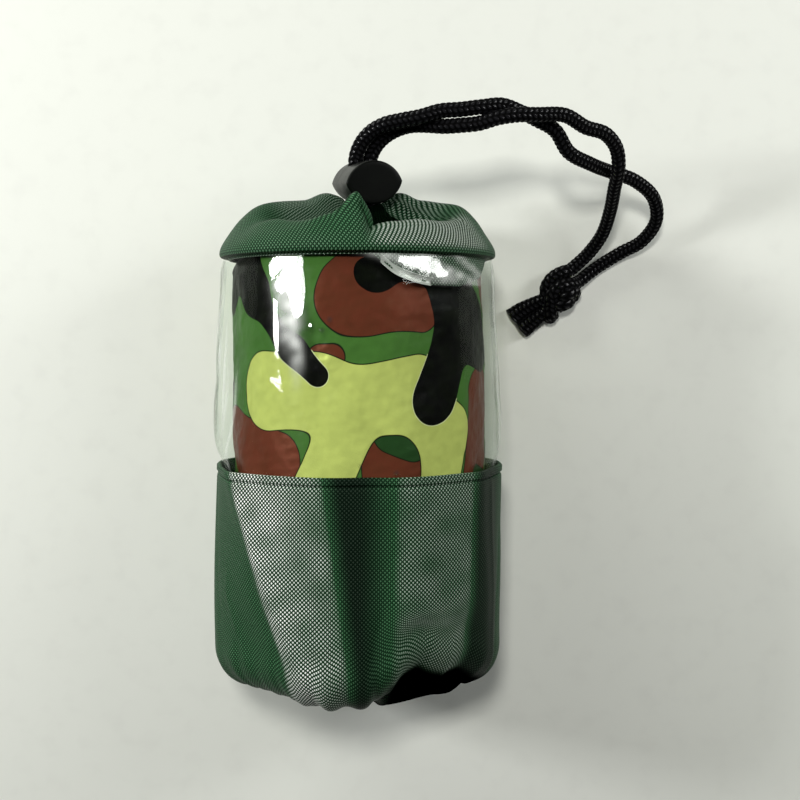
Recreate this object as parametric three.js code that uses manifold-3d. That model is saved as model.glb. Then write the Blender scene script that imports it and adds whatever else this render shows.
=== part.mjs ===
// An emergency sleeping bag, rolled up in its drawstring pouch and lying on its back.
// Millimetres. +X runs to the right, +Y along the bag towards its neck, +Z up.
// The origin is on the flat underside, below the middle of the clear window.
// Angles run round the bag's axis: 0 degrees faces +X, and 90 degrees faces up.

import * as THREE from 'three';
import { mergeVertices } from 'three/addons/utils/BufferGeometryUtils.js';
import Module from 'manifold-3d';

const wasm = await Module();
wasm.setup();

// Driving dimensions
const GAP = 0.3; // between pieces that touch
const CLOTH = 1.2; // oxford cloth of the cup
const COLLAR_CLOTH = 1.0; // oxford cloth of the collar
const FILM = 0.9; // clear window film
const CUP_RADIUS = 34.6;
const CUP_AXIS_HEIGHT = 33; // lower than the radius, which leaves the flat underside
const CUP_FOOT_Y = -58;
const CUP_CORNER = 9; // round between the cup's wall and its base
const HEM_Y = -5.5; // top edge of the cup
const HEM_DEPTH = 2; // from that edge to the stitched groove
const SEAM_Y = 43.5; // window to collar
const SEAM_RADIUS = 32.4;
const SEAM_AXIS_HEIGHT = 31.2;
const ROLL_END_Y = 45.3;
const ROLL_CORNER = 6;
const ROLL_LAP = 1.2; // step at the free edge of the outermost turn
const ROLL_TURN_PITCH = 6.5; // between the ridges of the wound ends
const NECK = { x: 2.2, z: 39.5 };
const CORD_DIAMETER = 3.1;
const BODY_COLUMNS = 56; // facets round the cup, the window and the roll
const CORD_SIDES = 8;
const LENS_SEGMENTS = 10; // facets of each of the lock's two curved sides
const CORD_STEP = 3.4; // length of one step of a cord's tube

// The cord lock, in its own frame: x across, y towards the free cords, z out of its front face
const LOCK_FRONT = new THREE.Vector3(4.5, 60, 50);
const LOCK_OUTWARD = new THREE.Vector3(0.274, -0.108, 0.956);
const LOCK_ROLL = THREE.MathUtils.degToRad(2.5);
const LOCK_HALF_WIDTH = 6.6;
const LOCK_HALF_HEIGHT = 4.9;
const LOCK_LENGTH = 15;
const LOCK_BEVEL = 0.5;
const LOCK_WALL = 1.4;
const LOCK_HOLE_DEPTH = 9.8; // from the front face to the middle of the cord hole
const LOCK_HOLE_HALF_WIDTH = 3.7;
const LOCK_HOLE_HALF_HEIGHT = 1.9;
const PLUNGER_TRAVEL = 2.5;
const PLUNGER_TIP_DEPTH = 5.5;
const PLUNGER_BUTTON = 3.2; // stands out of the body
const PLUNGER_GAP = 0.35;

// Lengthwise folds of the cloth over the roll. Each runs straight from one place to another,
// both given as an angle and a height along the bag.
const BODY_FOLDS = [
  { name: 'ridge beside the plain left side', from: [147, -2], to: [99, -58], width: 8, rise: 1.0 },
  { name: 'slack left of that ridge', from: [168, -6], to: [128, -58], width: 15, rise: -1.1 },
  { name: 'valley down the middle', from: [86, 2], to: [82, -58], width: 9, rise: -1.2 },
  { name: 'swell right of the valley', from: [64, 6], to: [66, -48], width: 12, rise: 0.5 },
  { name: 'crease at the right side', from: [38, 10], to: [30, -50], width: 6, rise: 0.6 },
  { name: 'slack at the right side', from: [20, 8], to: [12, -50], width: 10, rise: -0.6 },
  { name: 'slack under the window', from: [118, 40], to: [104, 6], width: 8, rise: -0.7 },
  { name: 'flat under the window', from: [58, 30], to: [50, -2], width: 11, rise: -0.5 },
  { name: 'soft fold on the hidden left', from: [205, 20], to: [215, -52], width: 10, rise: -0.6 },
  { name: 'soft fold on the hidden right', from: [338, 24], to: [326, -52], width: 9, rise: -0.6 },
];
const FOLD_FADE = 5; // how softly a fold ends

// Rings of the cup's wall. A hem ring lies below the cup's top edge and so deep under its face.
// The other rings are steps, as cupPoint describes them.
const HEM_RINGS = [
  { below: 0, depth: 0.15 },
  { below: 0.4, depth: -0.35 },
  { below: HEM_DEPTH - 0.3, depth: -0.35 },
  { below: HEM_DEPTH + 0.1, depth: 0.25 },
  { below: HEM_DEPTH + 1.2, depth: 0 },
];
const WALL_STEPS = [30, 20, 12, 5, -0.05, -0.3, -0.55, -0.8];
const WALL_INNER_STEPS = [-0.78, -0.5, -0.2, 6, 16, 28, 37];
const BASE_STEPS = [-0.5, -0.78, -1, -1.3, -1.6, -1.85];
const ROLL_FOOT_STEPS = [12, 5, -0.2];
const BASE_BULGE = 2.2; // the roll pushes the middle of the base out
const DENT_REACH = 16; // how far up the wall a dent is felt

// Where the rim of the base is pushed in towards the neck, or sags out
const RIM_DENTS = [
  { name: 'turned-in patch', angle: 56, width: 20, lift: 8.6, pull: 1.6 },
  { name: 'pucker by the patch', angle: 86, width: 5, lift: -0.9, pull: 0 },
  { name: 'pucker at the middle', angle: 94, width: 4, lift: 0.8, pull: 0.3 },
  { name: 'pucker under the ridge', angle: 100, width: 5, lift: -0.8, pull: 0 },
  { name: 'lift at the left', angle: 135, width: 16, lift: 1.4, pull: 1.2 },
  { name: 'pucker at the left', angle: 156, width: 7, lift: 0.8, pull: 0.6 },
  { name: 'pucker on the hidden left', angle: 232, width: 14, lift: 1.0, pull: 0 },
  { name: 'pucker on the hidden right', angle: 305, width: 12, lift: 1.1, pull: 0 },
];

const WINDOW_ROWS = [
  { y: -12, radius: 33.1, floor: 1.5 },
  { y: -7.5, radius: 33.1, floor: 1.5 },
  { y: -5.2, radius: 33.1, floor: 1.5 },
  { y: -2.6, radius: 34.0, floor: 0 },
  { y: 2, radius: 34.3, floor: 0 },
  { y: 14, radius: 33.8, floor: 0 },
  { y: 27, radius: 33.2, floor: 0 },
  { y: 37, radius: 32.6, floor: 0 },
  { y: SEAM_Y - GAP, radius: SEAM_RADIUS, floor: 0 },
];

const ROLL_ROWS = [
  { y: -29, radius: 31.5, shift: 0, lap: 0.3 },
  { y: -17, radius: 31.4, shift: 0.3, lap: 1 },
  { y: -6, radius: 31.3, shift: 0.5, lap: 1 },
  { y: 8, radius: 31.1, shift: 0.6, lap: 1 },
  { y: 24, radius: 30.9, shift: 0.5, lap: 1 },
  { y: 33, radius: 30.8, shift: 0.2, lap: 1 },
];

// The seam allowance presses into the end of the roll
const ALLOWANCE_DENT = { angle: 50, width: 34, depth: 1.1, fromY: 30, toY: 37 };

// The collar, from the tip of its inner seam allowance over the shoulder to the neck.
// share is the ring's size between the neck (0) and the seam (1).
const COLLAR_ROWS = [
  { name: 'allowance top', share: 0.925, front: 43.6, side: 43.6, back: 43.6, peak: 0, pleat: 0, floor: 1.9 },
  { name: 'shelf', share: 0.955, front: 44.1, side: 44.1, back: 44.1, peak: 0, pleat: 0, floor: 1.3 },
  { name: 'lip', share: 0.991, front: 44.2, side: 44.2, back: 44.2, peak: 0, pleat: 0, floor: 0.5 },
  { name: 'wall', share: 0.985, front: 45.9, side: 45.8, back: 45.8, peak: 0.1, pleat: 0.15, floor: 0.5 },
  { name: 'shoulder', share: 0.93, front: 48.4, side: 48.6, back: 49.0, peak: 0.5, pleat: 0.35, floor: 0.5 },
  { name: 'crest', share: 0.845, front: 49.7, side: 52.0, back: 52.4, peak: 1.0, pleat: 0.6, floor: 0.5 },
  { name: 'top', share: 0.74, front: 48.9, side: 54.2, back: 54.2, peak: 0.75, pleat: 0.9, floor: 0.5 },
  { name: 'slope', share: 0.58, front: 47.7, side: 55.0, back: 55.0, peak: 0.15, pleat: 1.1, floor: 0.5 },
  { name: 'inner', share: 0.43, front: 48.2, side: 55.6, back: 55.4, peak: 0, pleat: 1.0, floor: 0.5 },
  { name: 'ruffle', share: 0.31, front: 49.8, side: 55.9, back: 55.4, peak: 0, pleat: 0.7, floor: 0.5 },
  { name: 'throat', share: 0.2, front: 51.8, side: 55.0, back: 54.8, peak: 0, pleat: 0.3, floor: 0.5 },
  { name: 'neck', share: 0.126, front: 53.4, side: 53.8, back: 53.6, peak: 0, pleat: 0, floor: 0.5 },
];
const COLLAR_RADIUS = 33;
const COLLAR_COLUMN = 6; // degrees
const SLIT_COLUMNS = { from: 78, to: 114, column: 2 }; // finer round the slit
const NECK_SHARE = 0.126; // rings from here on are centred on the neck
const CREASE_SHARE = 0.92; // rings from here on are centred on the bag's axis

// Gathers that run from the crest to the neck
const PLEATS = [
  { angle: 14, width: 9, rise: 1.0 },
  { angle: 37, width: 8, rise: -1.1 },
  { angle: 58, width: 9, rise: 0.9 },
  { angle: 128, width: 10, rise: 1.0 },
  { angle: 146, width: 7, rise: -1.2 },
  { angle: 164, width: 9, rise: 1.1 },
  { angle: 188, width: 8, rise: -1.0 },
  { angle: 210, width: 9, rise: 0.9 },
  { angle: 233, width: 8, rise: -1.1 },
  { angle: 256, width: 9, rise: 1.0 },
  { angle: 279, width: 8, rise: -1.0 },
  { angle: 303, width: 10, rise: 1.1 },
  { angle: 329, width: 8, rise: -1.0 },
  { angle: 350, width: 7, rise: 0.5 },
];

// The front edge of the collar across the bag: a peak left of the slit, a notch at the slit
const PEAK = [
  { x: -15, rise: 0 },
  { x: -9, rise: 0.9 },
  { x: -4.2, rise: 2.3 },
  { x: -2, rise: 4.4 },
  { x: -0.6, rise: 6.1 },
  { x: 0.8, rise: 6.9 },
  { x: 2.0, rise: 4.8 },
  { x: 3.1, rise: -1.2 },
  { x: 5.5, rise: -0.3 },
  { x: 8, rise: 0.2 },
  { x: 24, rise: 0.3 },
];

// How far the seam allowance hangs down inside the window
const ALLOWANCE = [
  { angle: 10, length: 0.5 },
  { angle: 22, length: 5.0 },
  { angle: 40, length: 7.2 },
  { angle: 60, length: 7.0 },
  { angle: 72, length: 4.6 },
  { angle: 82, length: 0.5 },
];

// Both runs of the drawcord, from inside the neck through the cord lock to the knot
const CORD_A = [
  [3.9, 50.6, 38.8], [3.7, 56.0, 39.5], [3.5, 61.2, 40.2], [3.3, 66.4, 40.8], [4.4, 69.0, 41.2],
  [6.4, 71.2, 41.9], [9.4, 72.9, 42.8], [12.8, 73.7, 43.8], [16.4, 73.6, 44.8], [20.2, 73.2, 46.0],
  [24.2, 73.3, 46.8], [28.2, 73.7, 46.9], [32.6, 74.9, 47.4], [37.0, 75.6, 47.0], [42.0, 75.9, 45.6],
  [48.4, 76.3, 42.4], [53.9, 74.2, 38.3], [59.0, 73.2, 35.0], [62.3, 70.3, 31.4], [63.4, 66.2, 28.4],
  [63.4, 61.6, 22.6], [63.5, 57.0, 16.2], [62.4, 51.2, 9.8], [59.4, 46.6, 6.2], [54.6, 42.1, 5.1],
];
const CORD_B = [
  [0.6, 50.5, 39.8], [0.4, 55.8, 40.5], [0.2, 60.9, 41.1], [-0.1, 66.2, 41.8], [1.0, 69.4, 43.2],
  [3.3, 71.9, 44.9], [6.6, 73.5, 46.6], [10.6, 74.3, 47.6], [15.0, 75.0, 48.4], [19.4, 76.3, 48.0],
  [24.0, 76.7, 47.8], [29.0, 77.4, 47.2], [33.6, 78.1, 45.3], [38.0, 77.0, 43.0], [42.2, 75.5, 40.8],
  [46.6, 73.4, 38.7], [50.3, 68.9, 35.2], [56.2, 66.8, 30.0], [62.4, 65.8, 22.6], [69.3, 64.1, 18.2],
  [75.0, 60.3, 13.2], [76.6, 54.8, 8.4], [73.6, 49.9, 4.4], [68.4, 47.0, 2.4], [62.0, 43.0, 1.9],
  [56.9, 39.1, 3.3],
];
const TAIL_A = [
  [46.2, 34.2, 3.2], [44.4, 33.4, 2.7], [42.0, 32.0, 2.1], [39.4, 29.9, 1.75],
];
const TAIL_B = [
  [47.8, 30.4, 2.9], [46.2, 29.2, 2.4], [44.4, 27.7, 1.9], [42.2, 25.9, 1.75],
];
const KNOT_LOBES = [
  { x: 51.3, y: 39.2, z: 4.6, across: 4.2, height: 4.5 },
  { x: 54.6, y: 35.6, z: 4.2, across: 3.6, height: 4.1 },
  { x: 51.2, y: 32.2, z: 3.8, across: 3.4, height: 3.7 },
  { x: 49.4, y: 35.8, z: 3.5, across: 3.2, height: 3.4 },
];
const KNOT_FLOOR = 0.15;

// Small helpers

const { clamp, degToRad, lerp, smoothstep } = THREE.MathUtils;

function turnsApart(first, second) {
  return Math.abs(((first - second + 540) % 360) - 180);
}

function bump(distance, width) {
  return Math.exp(-((distance / width) ** 2));
}

function readTable(rows, key, at, value) {
  if (at <= rows[0][key]) return rows[0][value];
  for (let i = 1; i < rows.length; i += 1) {
    if (at <= rows[i][key]) {
      const part = (at - rows[i - 1][key]) / (rows[i][key] - rows[i - 1][key]);
      return lerp(rows[i - 1][value], rows[i][value], part);
    }
  }
  return rows[rows.length - 1][value];
}

function evenAngles(count) {
  return Array.from({ length: count }, (_, i) => (i * 360) / count);
}

// A closed surface through rings of points. Where a pole is given, the rings end in that point;
// otherwise the last ring joins the first, as in a sheet bent into a tube.
function closedSurface(rings, startPole, endPole) {
  const points = [...rings.flat()];
  const columns = rings[0].length;
  const faces = [];
  const ringCount = rings.length;
  const joins = startPole ? ringCount - 1 : ringCount;
  for (let i = 0; i < joins; i += 1) {
    const low = i * columns;
    const high = ((i + 1) % ringCount) * columns;
    for (let j = 0; j < columns; j += 1) {
      const k = (j + 1) % columns;
      faces.push(low + j, low + k, high + k, low + j, high + k, high + j);
    }
  }
  if (startPole) {
    const first = points.push(startPole) - 1;
    const last = points.push(endPole) - 1;
    const top = (ringCount - 1) * columns;
    for (let j = 0; j < columns; j += 1) {
      const k = (j + 1) % columns;
      faces.push(first, k, j, last, top + j, top + k);
    }
  }
  return outward(points, faces);
}

// Turns all faces to point out, by the sign of the enclosed volume
function outward(points, faces) {
  let volume = 0;
  const normal = new THREE.Vector3();
  for (let i = 0; i < faces.length; i += 3) {
    normal.crossVectors(points[faces[i + 1]], points[faces[i + 2]]);
    volume += points[faces[i]].dot(normal);
  }
  const order = volume > 0 ? faces : faces.reverse();
  const geometry = new THREE.BufferGeometry();
  geometry.setAttribute('position', new THREE.Float32BufferAttribute(points.flatMap((p) => p.toArray()), 3));
  geometry.setIndex(order);
  geometry.computeVertexNormals();
  return geometry;
}

function toManifold(geometry) {
  const bare = geometry.clone();
  bare.deleteAttribute('normal');
  bare.deleteAttribute('uv');
  const merged = mergeVertices(bare, 1e-4);
  return new wasm.Manifold(new wasm.Mesh({
    numProp: 3,
    vertProperties: new Float32Array(merged.attributes.position.array),
    triVerts: new Uint32Array(merged.index.array),
  }));
}

function fromManifold(solid) {
  const mesh = solid.getMesh();
  const geometry = new THREE.BufferGeometry();
  geometry.setAttribute('position', new THREE.BufferAttribute(mesh.vertProperties, 3));
  geometry.setIndex(new THREE.BufferAttribute(mesh.triVerts, 1));
  geometry.computeVertexNormals();
  return geometry;
}

// The bag's body: the roll and the cloth that follows it

function axisHeight(y) {
  return lerp(CUP_AXIS_HEIGHT, SEAM_AXIS_HEIGHT, clamp((y - HEM_Y) / (SEAM_Y - HEM_Y), 0, 1));
}

function foldRise(angle, y) {
  let rise = 0;
  for (const fold of BODY_FOLDS) {
    const [topAngle, topY] = fold.from;
    const [footAngle, footY] = fold.to;
    const along = clamp((y - topY) / (footY - topY), 0, 1);
    const beyond = Math.max(0, y - topY, footY - y);
    const share = bump(turnsApart(angle, lerp(topAngle, footAngle, along)), fold.width);
    rise += fold.rise * share * bump(beyond, FOLD_FADE);
  }
  return rise;
}

function bodyPoint(angle, radius, y, floor, shift = 0) {
  const settled = radius + foldRise(angle, y) * (radius / CUP_RADIUS);
  const turn = degToRad(angle);
  return new THREE.Vector3(
    shift + settled * Math.cos(turn),
    y,
    Math.max(floor, axisHeight(y) + settled * Math.sin(turn)),
  );
}

// A point of the cup, the given depth below its outer face. A step over 0 is the height
// above the foot; a step from 0 to -1 runs round the corner, and on to -2 at the middle of the base.
function cupPoint(angle, depth, step) {
  const foot = CUP_FOOT_Y + depth;
  const corner = CUP_CORNER - depth;
  const radius = CUP_RADIUS - depth;
  let y = foot + corner + Math.max(0, step);
  let across = radius;
  if (step < 0) {
    const turn = Math.min(1, -step) * Math.PI / 2;
    y = foot + corner * (1 - Math.sin(turn));
    across = radius - corner * (1 - Math.cos(turn));
  }
  if (step < -1) across *= 2 + step;
  const nearFoot = smoothstep(DENT_REACH - Math.max(0, step), 0, DENT_REACH);
  const nearRim = smoothstep(across / radius, 0.45, 0.95);
  let lift = 0;
  let pull = 0;
  for (const dent of RIM_DENTS) {
    const share = bump(turnsApart(angle, dent.angle), dent.width) * nearFoot * nearRim;
    lift += dent.lift * share;
    pull += dent.pull * share;
  }
  const bulge = BASE_BULGE * smoothstep(1 - across / radius, 0.3, 1);
  const floor = depth < CLOTH ? 0 : depth;
  return bodyPoint(angle, across - pull * (across / radius), y + lift - bulge, floor);
}

function cupRing(depth, step) {
  return evenAngles(BODY_COLUMNS).map((angle) => cupPoint(angle, depth, step));
}

function baseWall() {
  const height = HEM_Y - CUP_FOOT_Y - CUP_CORNER;
  const hem = HEM_RINGS.map((ring) => cupRing(ring.depth, height - ring.below));
  const outer = WALL_STEPS.map((step) => cupRing(0, step));
  const inner = [...WALL_INNER_STEPS, height - HEM_DEPTH, height].map((step) => cupRing(CLOTH, step));
  return closedSurface([...hem, ...outer, ...inner]);
}

function baseDisc() {
  const top = CLOTH + GAP;
  const under = BASE_STEPS.map((step) => cupRing(top, step)).reverse();
  const over = BASE_STEPS.map((step) => cupRing(top + CLOTH, step));
  return closedSurface([...under, ...over], poleAt(under[0]), poleAt(over[over.length - 1]));
}

function poleAt(ring) {
  return ring.reduce((sum, point) => sum.add(point), new THREE.Vector3()).divideScalar(ring.length);
}

function windowTube() {
  const ring = (row, depth) => evenAngles(BODY_COLUMNS).map(
    (angle) => bodyPoint(angle, row.radius - depth, row.y, row.floor + depth),
  );
  const outer = WINDOW_ROWS.map((row) => ring(row, 0));
  const inner = WINDOW_ROWS.map((row) => ring(row, FILM)).reverse();
  return closedSurface([...outer, ...inner]);
}

function rollRadius(angle, y) {
  const outermost = ROLL_LAP * (((angle + 70) % 360) / 360 - 1);
  const lap = outermost * readTable(ROLL_ROWS, 'y', y, 'lap');
  const dent = ALLOWANCE_DENT;
  const facing = bump(turnsApart(angle, dent.angle), dent.width);
  const pressed = dent.depth * facing * smoothstep(y, dent.fromY, dent.toY);
  return readTable(ROLL_ROWS, 'y', y, 'radius') + lap - pressed;
}

function rollEndRelief(angle, radius) {
  const turns = radius / ROLL_TURN_PITCH - angle / 360;
  return 0.5 * Math.cos(turns * 2 * Math.PI) * smoothstep(radius, 0, 8);
}

function sleepingBagRoll() {
  const floor = CLOTH + GAP + FILM + GAP;
  const foot = 2 * (CLOTH + GAP) + 2 * GAP;
  const ringAt = (place) => evenAngles(BODY_COLUMNS).map(place);
  const footRings = [...ROLL_FOOT_STEPS, ...BASE_STEPS].reverse().map((step) => cupRing(foot, step));
  const wall = [...ROLL_ROWS.map((row) => row.y), ROLL_END_Y - ROLL_CORNER].map((y) => ringAt(
    (angle) => bodyPoint(angle, rollRadius(angle, y), y, floor, readTable(ROLL_ROWS, 'y', y, 'shift')),
  ));
  const topCorner = [0.35, 0.7, 1].map((share) => ringAt((angle) => {
    const turn = share * Math.PI / 2;
    const y = ROLL_END_Y - ROLL_CORNER * (1 - Math.sin(turn));
    return bodyPoint(angle, rollRadius(angle, y) - ROLL_CORNER * (1 - Math.cos(turn)), y, floor, 0.2);
  }));
  const topFace = [22, 17.5, 13, 8.5, 4].map((radius) => ringAt(
    (angle) => bodyPoint(angle, radius, ROLL_END_Y - 0.5 + rollEndRelief(angle, radius), floor, 0.2),
  ));
  const rings = [...footRings, ...wall, ...topCorner, ...topFace];
  return closedSurface(rings, poleAt(rings[0]), poleAt(rings[rings.length - 1]));
}

// The collar

// How far a column takes the low height of the front: none at the sides, all of it near the top
function frontShare(angle) {
  return smoothstep(Math.sin(degToRad(angle)), 0.25, 0.97);
}

function pleatRise(angle) {
  return PLEATS.reduce((sum, pleat) => sum + pleat.rise * bump(turnsApart(angle, pleat.angle), pleat.width), 0);
}

function collarPoint(angle, row) {
  const turn = degToRad(angle);
  const radius = COLLAR_RADIUS * row.share;
  const reach = clamp((row.share - NECK_SHARE) / (CREASE_SHARE - NECK_SHARE), 0, 1);
  const x = lerp(NECK.x, 0, reach) + radius * Math.cos(turn);
  const z = lerp(NECK.z, SEAM_AXIS_HEIGHT, reach) + radius * Math.sin(turn);
  const upward = Math.sin(turn);
  let y = upward > 0 ? lerp(row.side, row.front, frontShare(angle)) : lerp(row.side, row.back, -upward);
  y += row.pleat * pleatRise(angle);
  if (upward > 0.5) y += row.peak * readTable(PEAK, 'x', x, 'rise');
  return new THREE.Vector3(x, y, Math.max(row.floor, z));
}

function collarAngles() {
  const angles = [];
  let angle = 0;
  while (angle < 360) {
    angles.push(angle);
    angle += angle >= SLIT_COLUMNS.from && angle < SLIT_COLUMNS.to ? SLIT_COLUMNS.column : COLLAR_COLUMN;
  }
  return angles;
}

function collar() {
  const angles = collarAngles();
  const rows = COLLAR_ROWS.map((row) => angles.map((angle) => collarPoint(angle, row)));
  const tip = rows[0].map((point, j) => {
    const length = readTable(ALLOWANCE, 'angle', angles[j], 'length');
    return new THREE.Vector3(point.x, point.y - length, point.z);
  });
  const middle = [tip, ...rows];
  const [outer, inner] = [COLLAR_CLOTH / 2, -COLLAR_CLOTH / 2].map((offset) => offsetRings(middle, offset));
  return closedSurface([...outer, ...inner.reverse()]);
}

// Moves each point of a ringed sheet along the sheet's own normal
function offsetRings(rings, offset) {
  const columns = rings[0].length;
  const across = new THREE.Vector3();
  const along = new THREE.Vector3();
  return rings.map((ring, i) => ring.map((point, j) => {
    const after = rings[Math.min(i + 1, rings.length - 1)][j];
    const before = rings[Math.max(i - 1, 0)][j];
    across.subVectors(ring[(j + 1) % columns], ring[(j + columns - 1) % columns]);
    along.subVectors(after, before);
    const moved = point.clone().addScaledVector(along.cross(across).normalize(), -offset);
    moved.z = Math.max(moved.z, 0);
    return moved;
  }));
}

// The cord lock

function lensShape(halfWidth, halfHeight) {
  const radius = (halfWidth ** 2 + halfHeight ** 2) / (2 * halfHeight);
  const drop = radius - halfHeight;
  const reach = Math.asin(halfWidth / radius);
  const shape = new THREE.Shape();
  shape.absarc(0, -drop, radius, Math.PI / 2 - reach, Math.PI / 2 + reach, false);
  shape.absarc(0, drop, radius, Math.PI * 1.5 - reach, Math.PI * 1.5 + reach, false);
  return shape;
}

function lensSolid(halfWidth, halfHeight, from, to, bevel) {
  const geometry = new THREE.ExtrudeGeometry(lensShape(halfWidth - bevel, halfHeight - bevel), {
    depth: to - from - 2 * bevel,
    curveSegments: LENS_SEGMENTS,
    bevelEnabled: bevel > 0,
    bevelSize: bevel,
    bevelThickness: bevel,
    bevelSegments: 1,
  });
  return toManifold(geometry.translate(0, 0, from + bevel));
}

function cordSlot(frontDepth, backDepth) {
  const half = LOCK_HOLE_HALF_WIDTH;
  const low = -backDepth;
  const high = -frontDepth;
  const round = Math.min(LOCK_HOLE_HALF_HEIGHT, (high - low) / 2) - 0.01;
  const shape = new THREE.Shape();
  shape.absarc(half - round, high - round, round, 0, Math.PI / 2, false);
  shape.absarc(-half + round, high - round, round, Math.PI / 2, Math.PI, false);
  shape.absarc(-half + round, low + round, round, Math.PI, Math.PI * 1.5, false);
  shape.absarc(half - round, low + round, round, Math.PI * 1.5, Math.PI * 2, false);
  const depth = 4 * LOCK_HALF_HEIGHT;
  const geometry = new THREE.ExtrudeGeometry(shape, { depth, bevelEnabled: false, curveSegments: 5 });
  geometry.translate(0, 0, -depth / 2);
  return toManifold(geometry.rotateX(Math.PI / 2));
}

function lockBody() {
  const hole = LOCK_HOLE_HALF_HEIGHT;
  const body = lensSolid(LOCK_HALF_WIDTH, LOCK_HALF_HEIGHT, -LOCK_LENGTH, 0, LOCK_BEVEL);
  const cavity = lensSolid(
    LOCK_HALF_WIDTH - LOCK_WALL, LOCK_HALF_HEIGHT - LOCK_WALL, -LOCK_LENGTH - 1, -LOCK_WALL, 0,
  );
  return fromManifold(body.subtract(cavity).subtract(cordSlot(LOCK_HOLE_DEPTH - hole, LOCK_HOLE_DEPTH + hole)));
}

function lockPlunger() {
  const hole = LOCK_HOLE_HALF_HEIGHT;
  const inset = LOCK_WALL + PLUNGER_GAP;
  const body = lensSolid(
    LOCK_HALF_WIDTH - inset, LOCK_HALF_HEIGHT - inset, -LOCK_LENGTH - PLUNGER_BUTTON, -PLUNGER_TIP_DEPTH, 0.4,
  );
  const slot = cordSlot(LOCK_HOLE_DEPTH - hole, LOCK_HOLE_DEPTH + hole + PLUNGER_TRAVEL);
  return fromManifold(body.subtract(slot));
}

// The drawcord

function cordTube(points) {
  const route = points.map((point) => new THREE.Vector3(...point));
  const path = new THREE.CatmullRomCurve3(route, false, 'centripetal');
  const section = new THREE.Shape(evenAngles(CORD_SIDES).map((angle) => new THREE.Vector2(
    CORD_DIAMETER / 2 * Math.cos(degToRad(angle)),
    CORD_DIAMETER / 2 * Math.sin(degToRad(angle)),
  )));
  return new THREE.ExtrudeGeometry(section, {
    steps: Math.ceil(path.getLength() / CORD_STEP),
    bevelEnabled: false,
    extrudePath: path,
  });
}

function cordKnot() {
  const lobes = KNOT_LOBES.map((lobe) => {
    const ball = new THREE.SphereGeometry(1, 16, 10);
    ball.scale(lobe.across, lobe.across, lobe.height).translate(lobe.x, lobe.y, lobe.z);
    return toManifold(ball);
  });
  const whole = lobes.reduce((sum, lobe) => sum.add(lobe));
  const below = new THREE.BoxGeometry(40, 40, 4).translate(KNOT_LOBES[0].x, KNOT_LOBES[0].y, KNOT_FLOOR - 2);
  return fromManifold(whole.subtract(toManifold(below)));
}

// Materials

const oxford = { color: '#234b2d', roughness: 0.85, metalness: 0 };
const clearFilm = { color: '#e4ebe6', roughness: 0.1, metalness: 0, transparent: true, opacity: 0.3 };
const printedFilm = { color: '#6f7a3c', roughness: 0.4, metalness: 0 };
const blackPlastic = { color: '#1b1d1c', roughness: 0.5, metalness: 0 };
const blackCord = { color: '#101110', roughness: 0.75, metalness: 0 };

function piece(name, geometry, finish) {
  const mesh = new THREE.Mesh(geometry, new THREE.MeshStandardMaterial(finish));
  mesh.name = name;
  return mesh;
}

function lockFrame() {
  const outwards = LOCK_OUTWARD.clone().normalize();
  const across = new THREE.Vector3(Math.cos(LOCK_ROLL), Math.sin(LOCK_ROLL), 0);
  across.addScaledVector(outwards, -across.dot(outwards)).normalize();
  const up = new THREE.Vector3().crossVectors(outwards, across);
  const group = new THREE.Group();
  group.position.copy(LOCK_FRONT);
  group.setRotationFromMatrix(new THREE.Matrix4().makeBasis(across, up, outwards));
  return group;
}

const cordLock = lockFrame();
cordLock.add(piece('cord_lock_body', lockBody(), blackPlastic));
cordLock.add(piece('cord_lock_plunger', lockPlunger(), blackPlastic));

const sleepingBag = new THREE.Group();
sleepingBag.name = 'emergency_sleeping_bag';
sleepingBag.add(
  piece('base_wall', baseWall(), oxford),
  piece('base_disc', baseDisc(), oxford),
  piece('window_tube', windowTube(), clearFilm),
  piece('sleeping_bag_roll', sleepingBagRoll(), printedFilm),
  piece('collar', collar(), oxford),
  piece('cord_a', cordTube(CORD_A), blackCord),
  piece('cord_b', cordTube(CORD_B), blackCord),
  piece('cord_knot', cordKnot(), blackCord),
  piece('cord_tail_a', cordTube(TAIL_A), blackCord),
  piece('cord_tail_b', cordTube(TAIL_B), blackCord),
  cordLock,
);

export default sleepingBag;
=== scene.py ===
"""Emergency sleeping bag in its drawstring pouch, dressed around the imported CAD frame.

Shapes are worked out in millimetres, in the frame of the CAD: +X right, +Y along the bag
towards its neck, +Z up. Angles run round the bag's axis: 0 degrees faces +X, 90 faces up.
"""

import bpy
import numpy as np
from bpy.props import FloatProperty, FloatVectorProperty, PointerProperty
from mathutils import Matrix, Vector


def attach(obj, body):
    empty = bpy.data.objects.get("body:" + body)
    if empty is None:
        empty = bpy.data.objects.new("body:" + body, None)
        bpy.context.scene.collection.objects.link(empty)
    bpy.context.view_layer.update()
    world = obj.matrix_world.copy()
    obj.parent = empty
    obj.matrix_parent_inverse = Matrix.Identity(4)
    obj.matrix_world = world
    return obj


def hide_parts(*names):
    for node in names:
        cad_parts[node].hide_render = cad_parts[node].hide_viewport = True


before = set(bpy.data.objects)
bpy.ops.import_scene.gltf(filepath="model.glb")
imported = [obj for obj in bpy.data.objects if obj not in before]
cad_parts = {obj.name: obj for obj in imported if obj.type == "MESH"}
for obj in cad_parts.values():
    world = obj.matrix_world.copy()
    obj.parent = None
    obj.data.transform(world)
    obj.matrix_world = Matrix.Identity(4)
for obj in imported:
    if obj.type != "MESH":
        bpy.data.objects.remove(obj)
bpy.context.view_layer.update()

bl_info = {
    "name": "Drawstring pouch with film sleeping bag",
    "version": (1, 0, 0),
    "blender": (4, 5, 0),
    "location": "3D View > Sidebar > Pouch",
    "description": "Builds the dressed pouch, its rolled bag, cords and stage",
    "category": "Add Mesh",
}

MM = 0.001

# The bag's body, as in the CAD source

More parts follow.
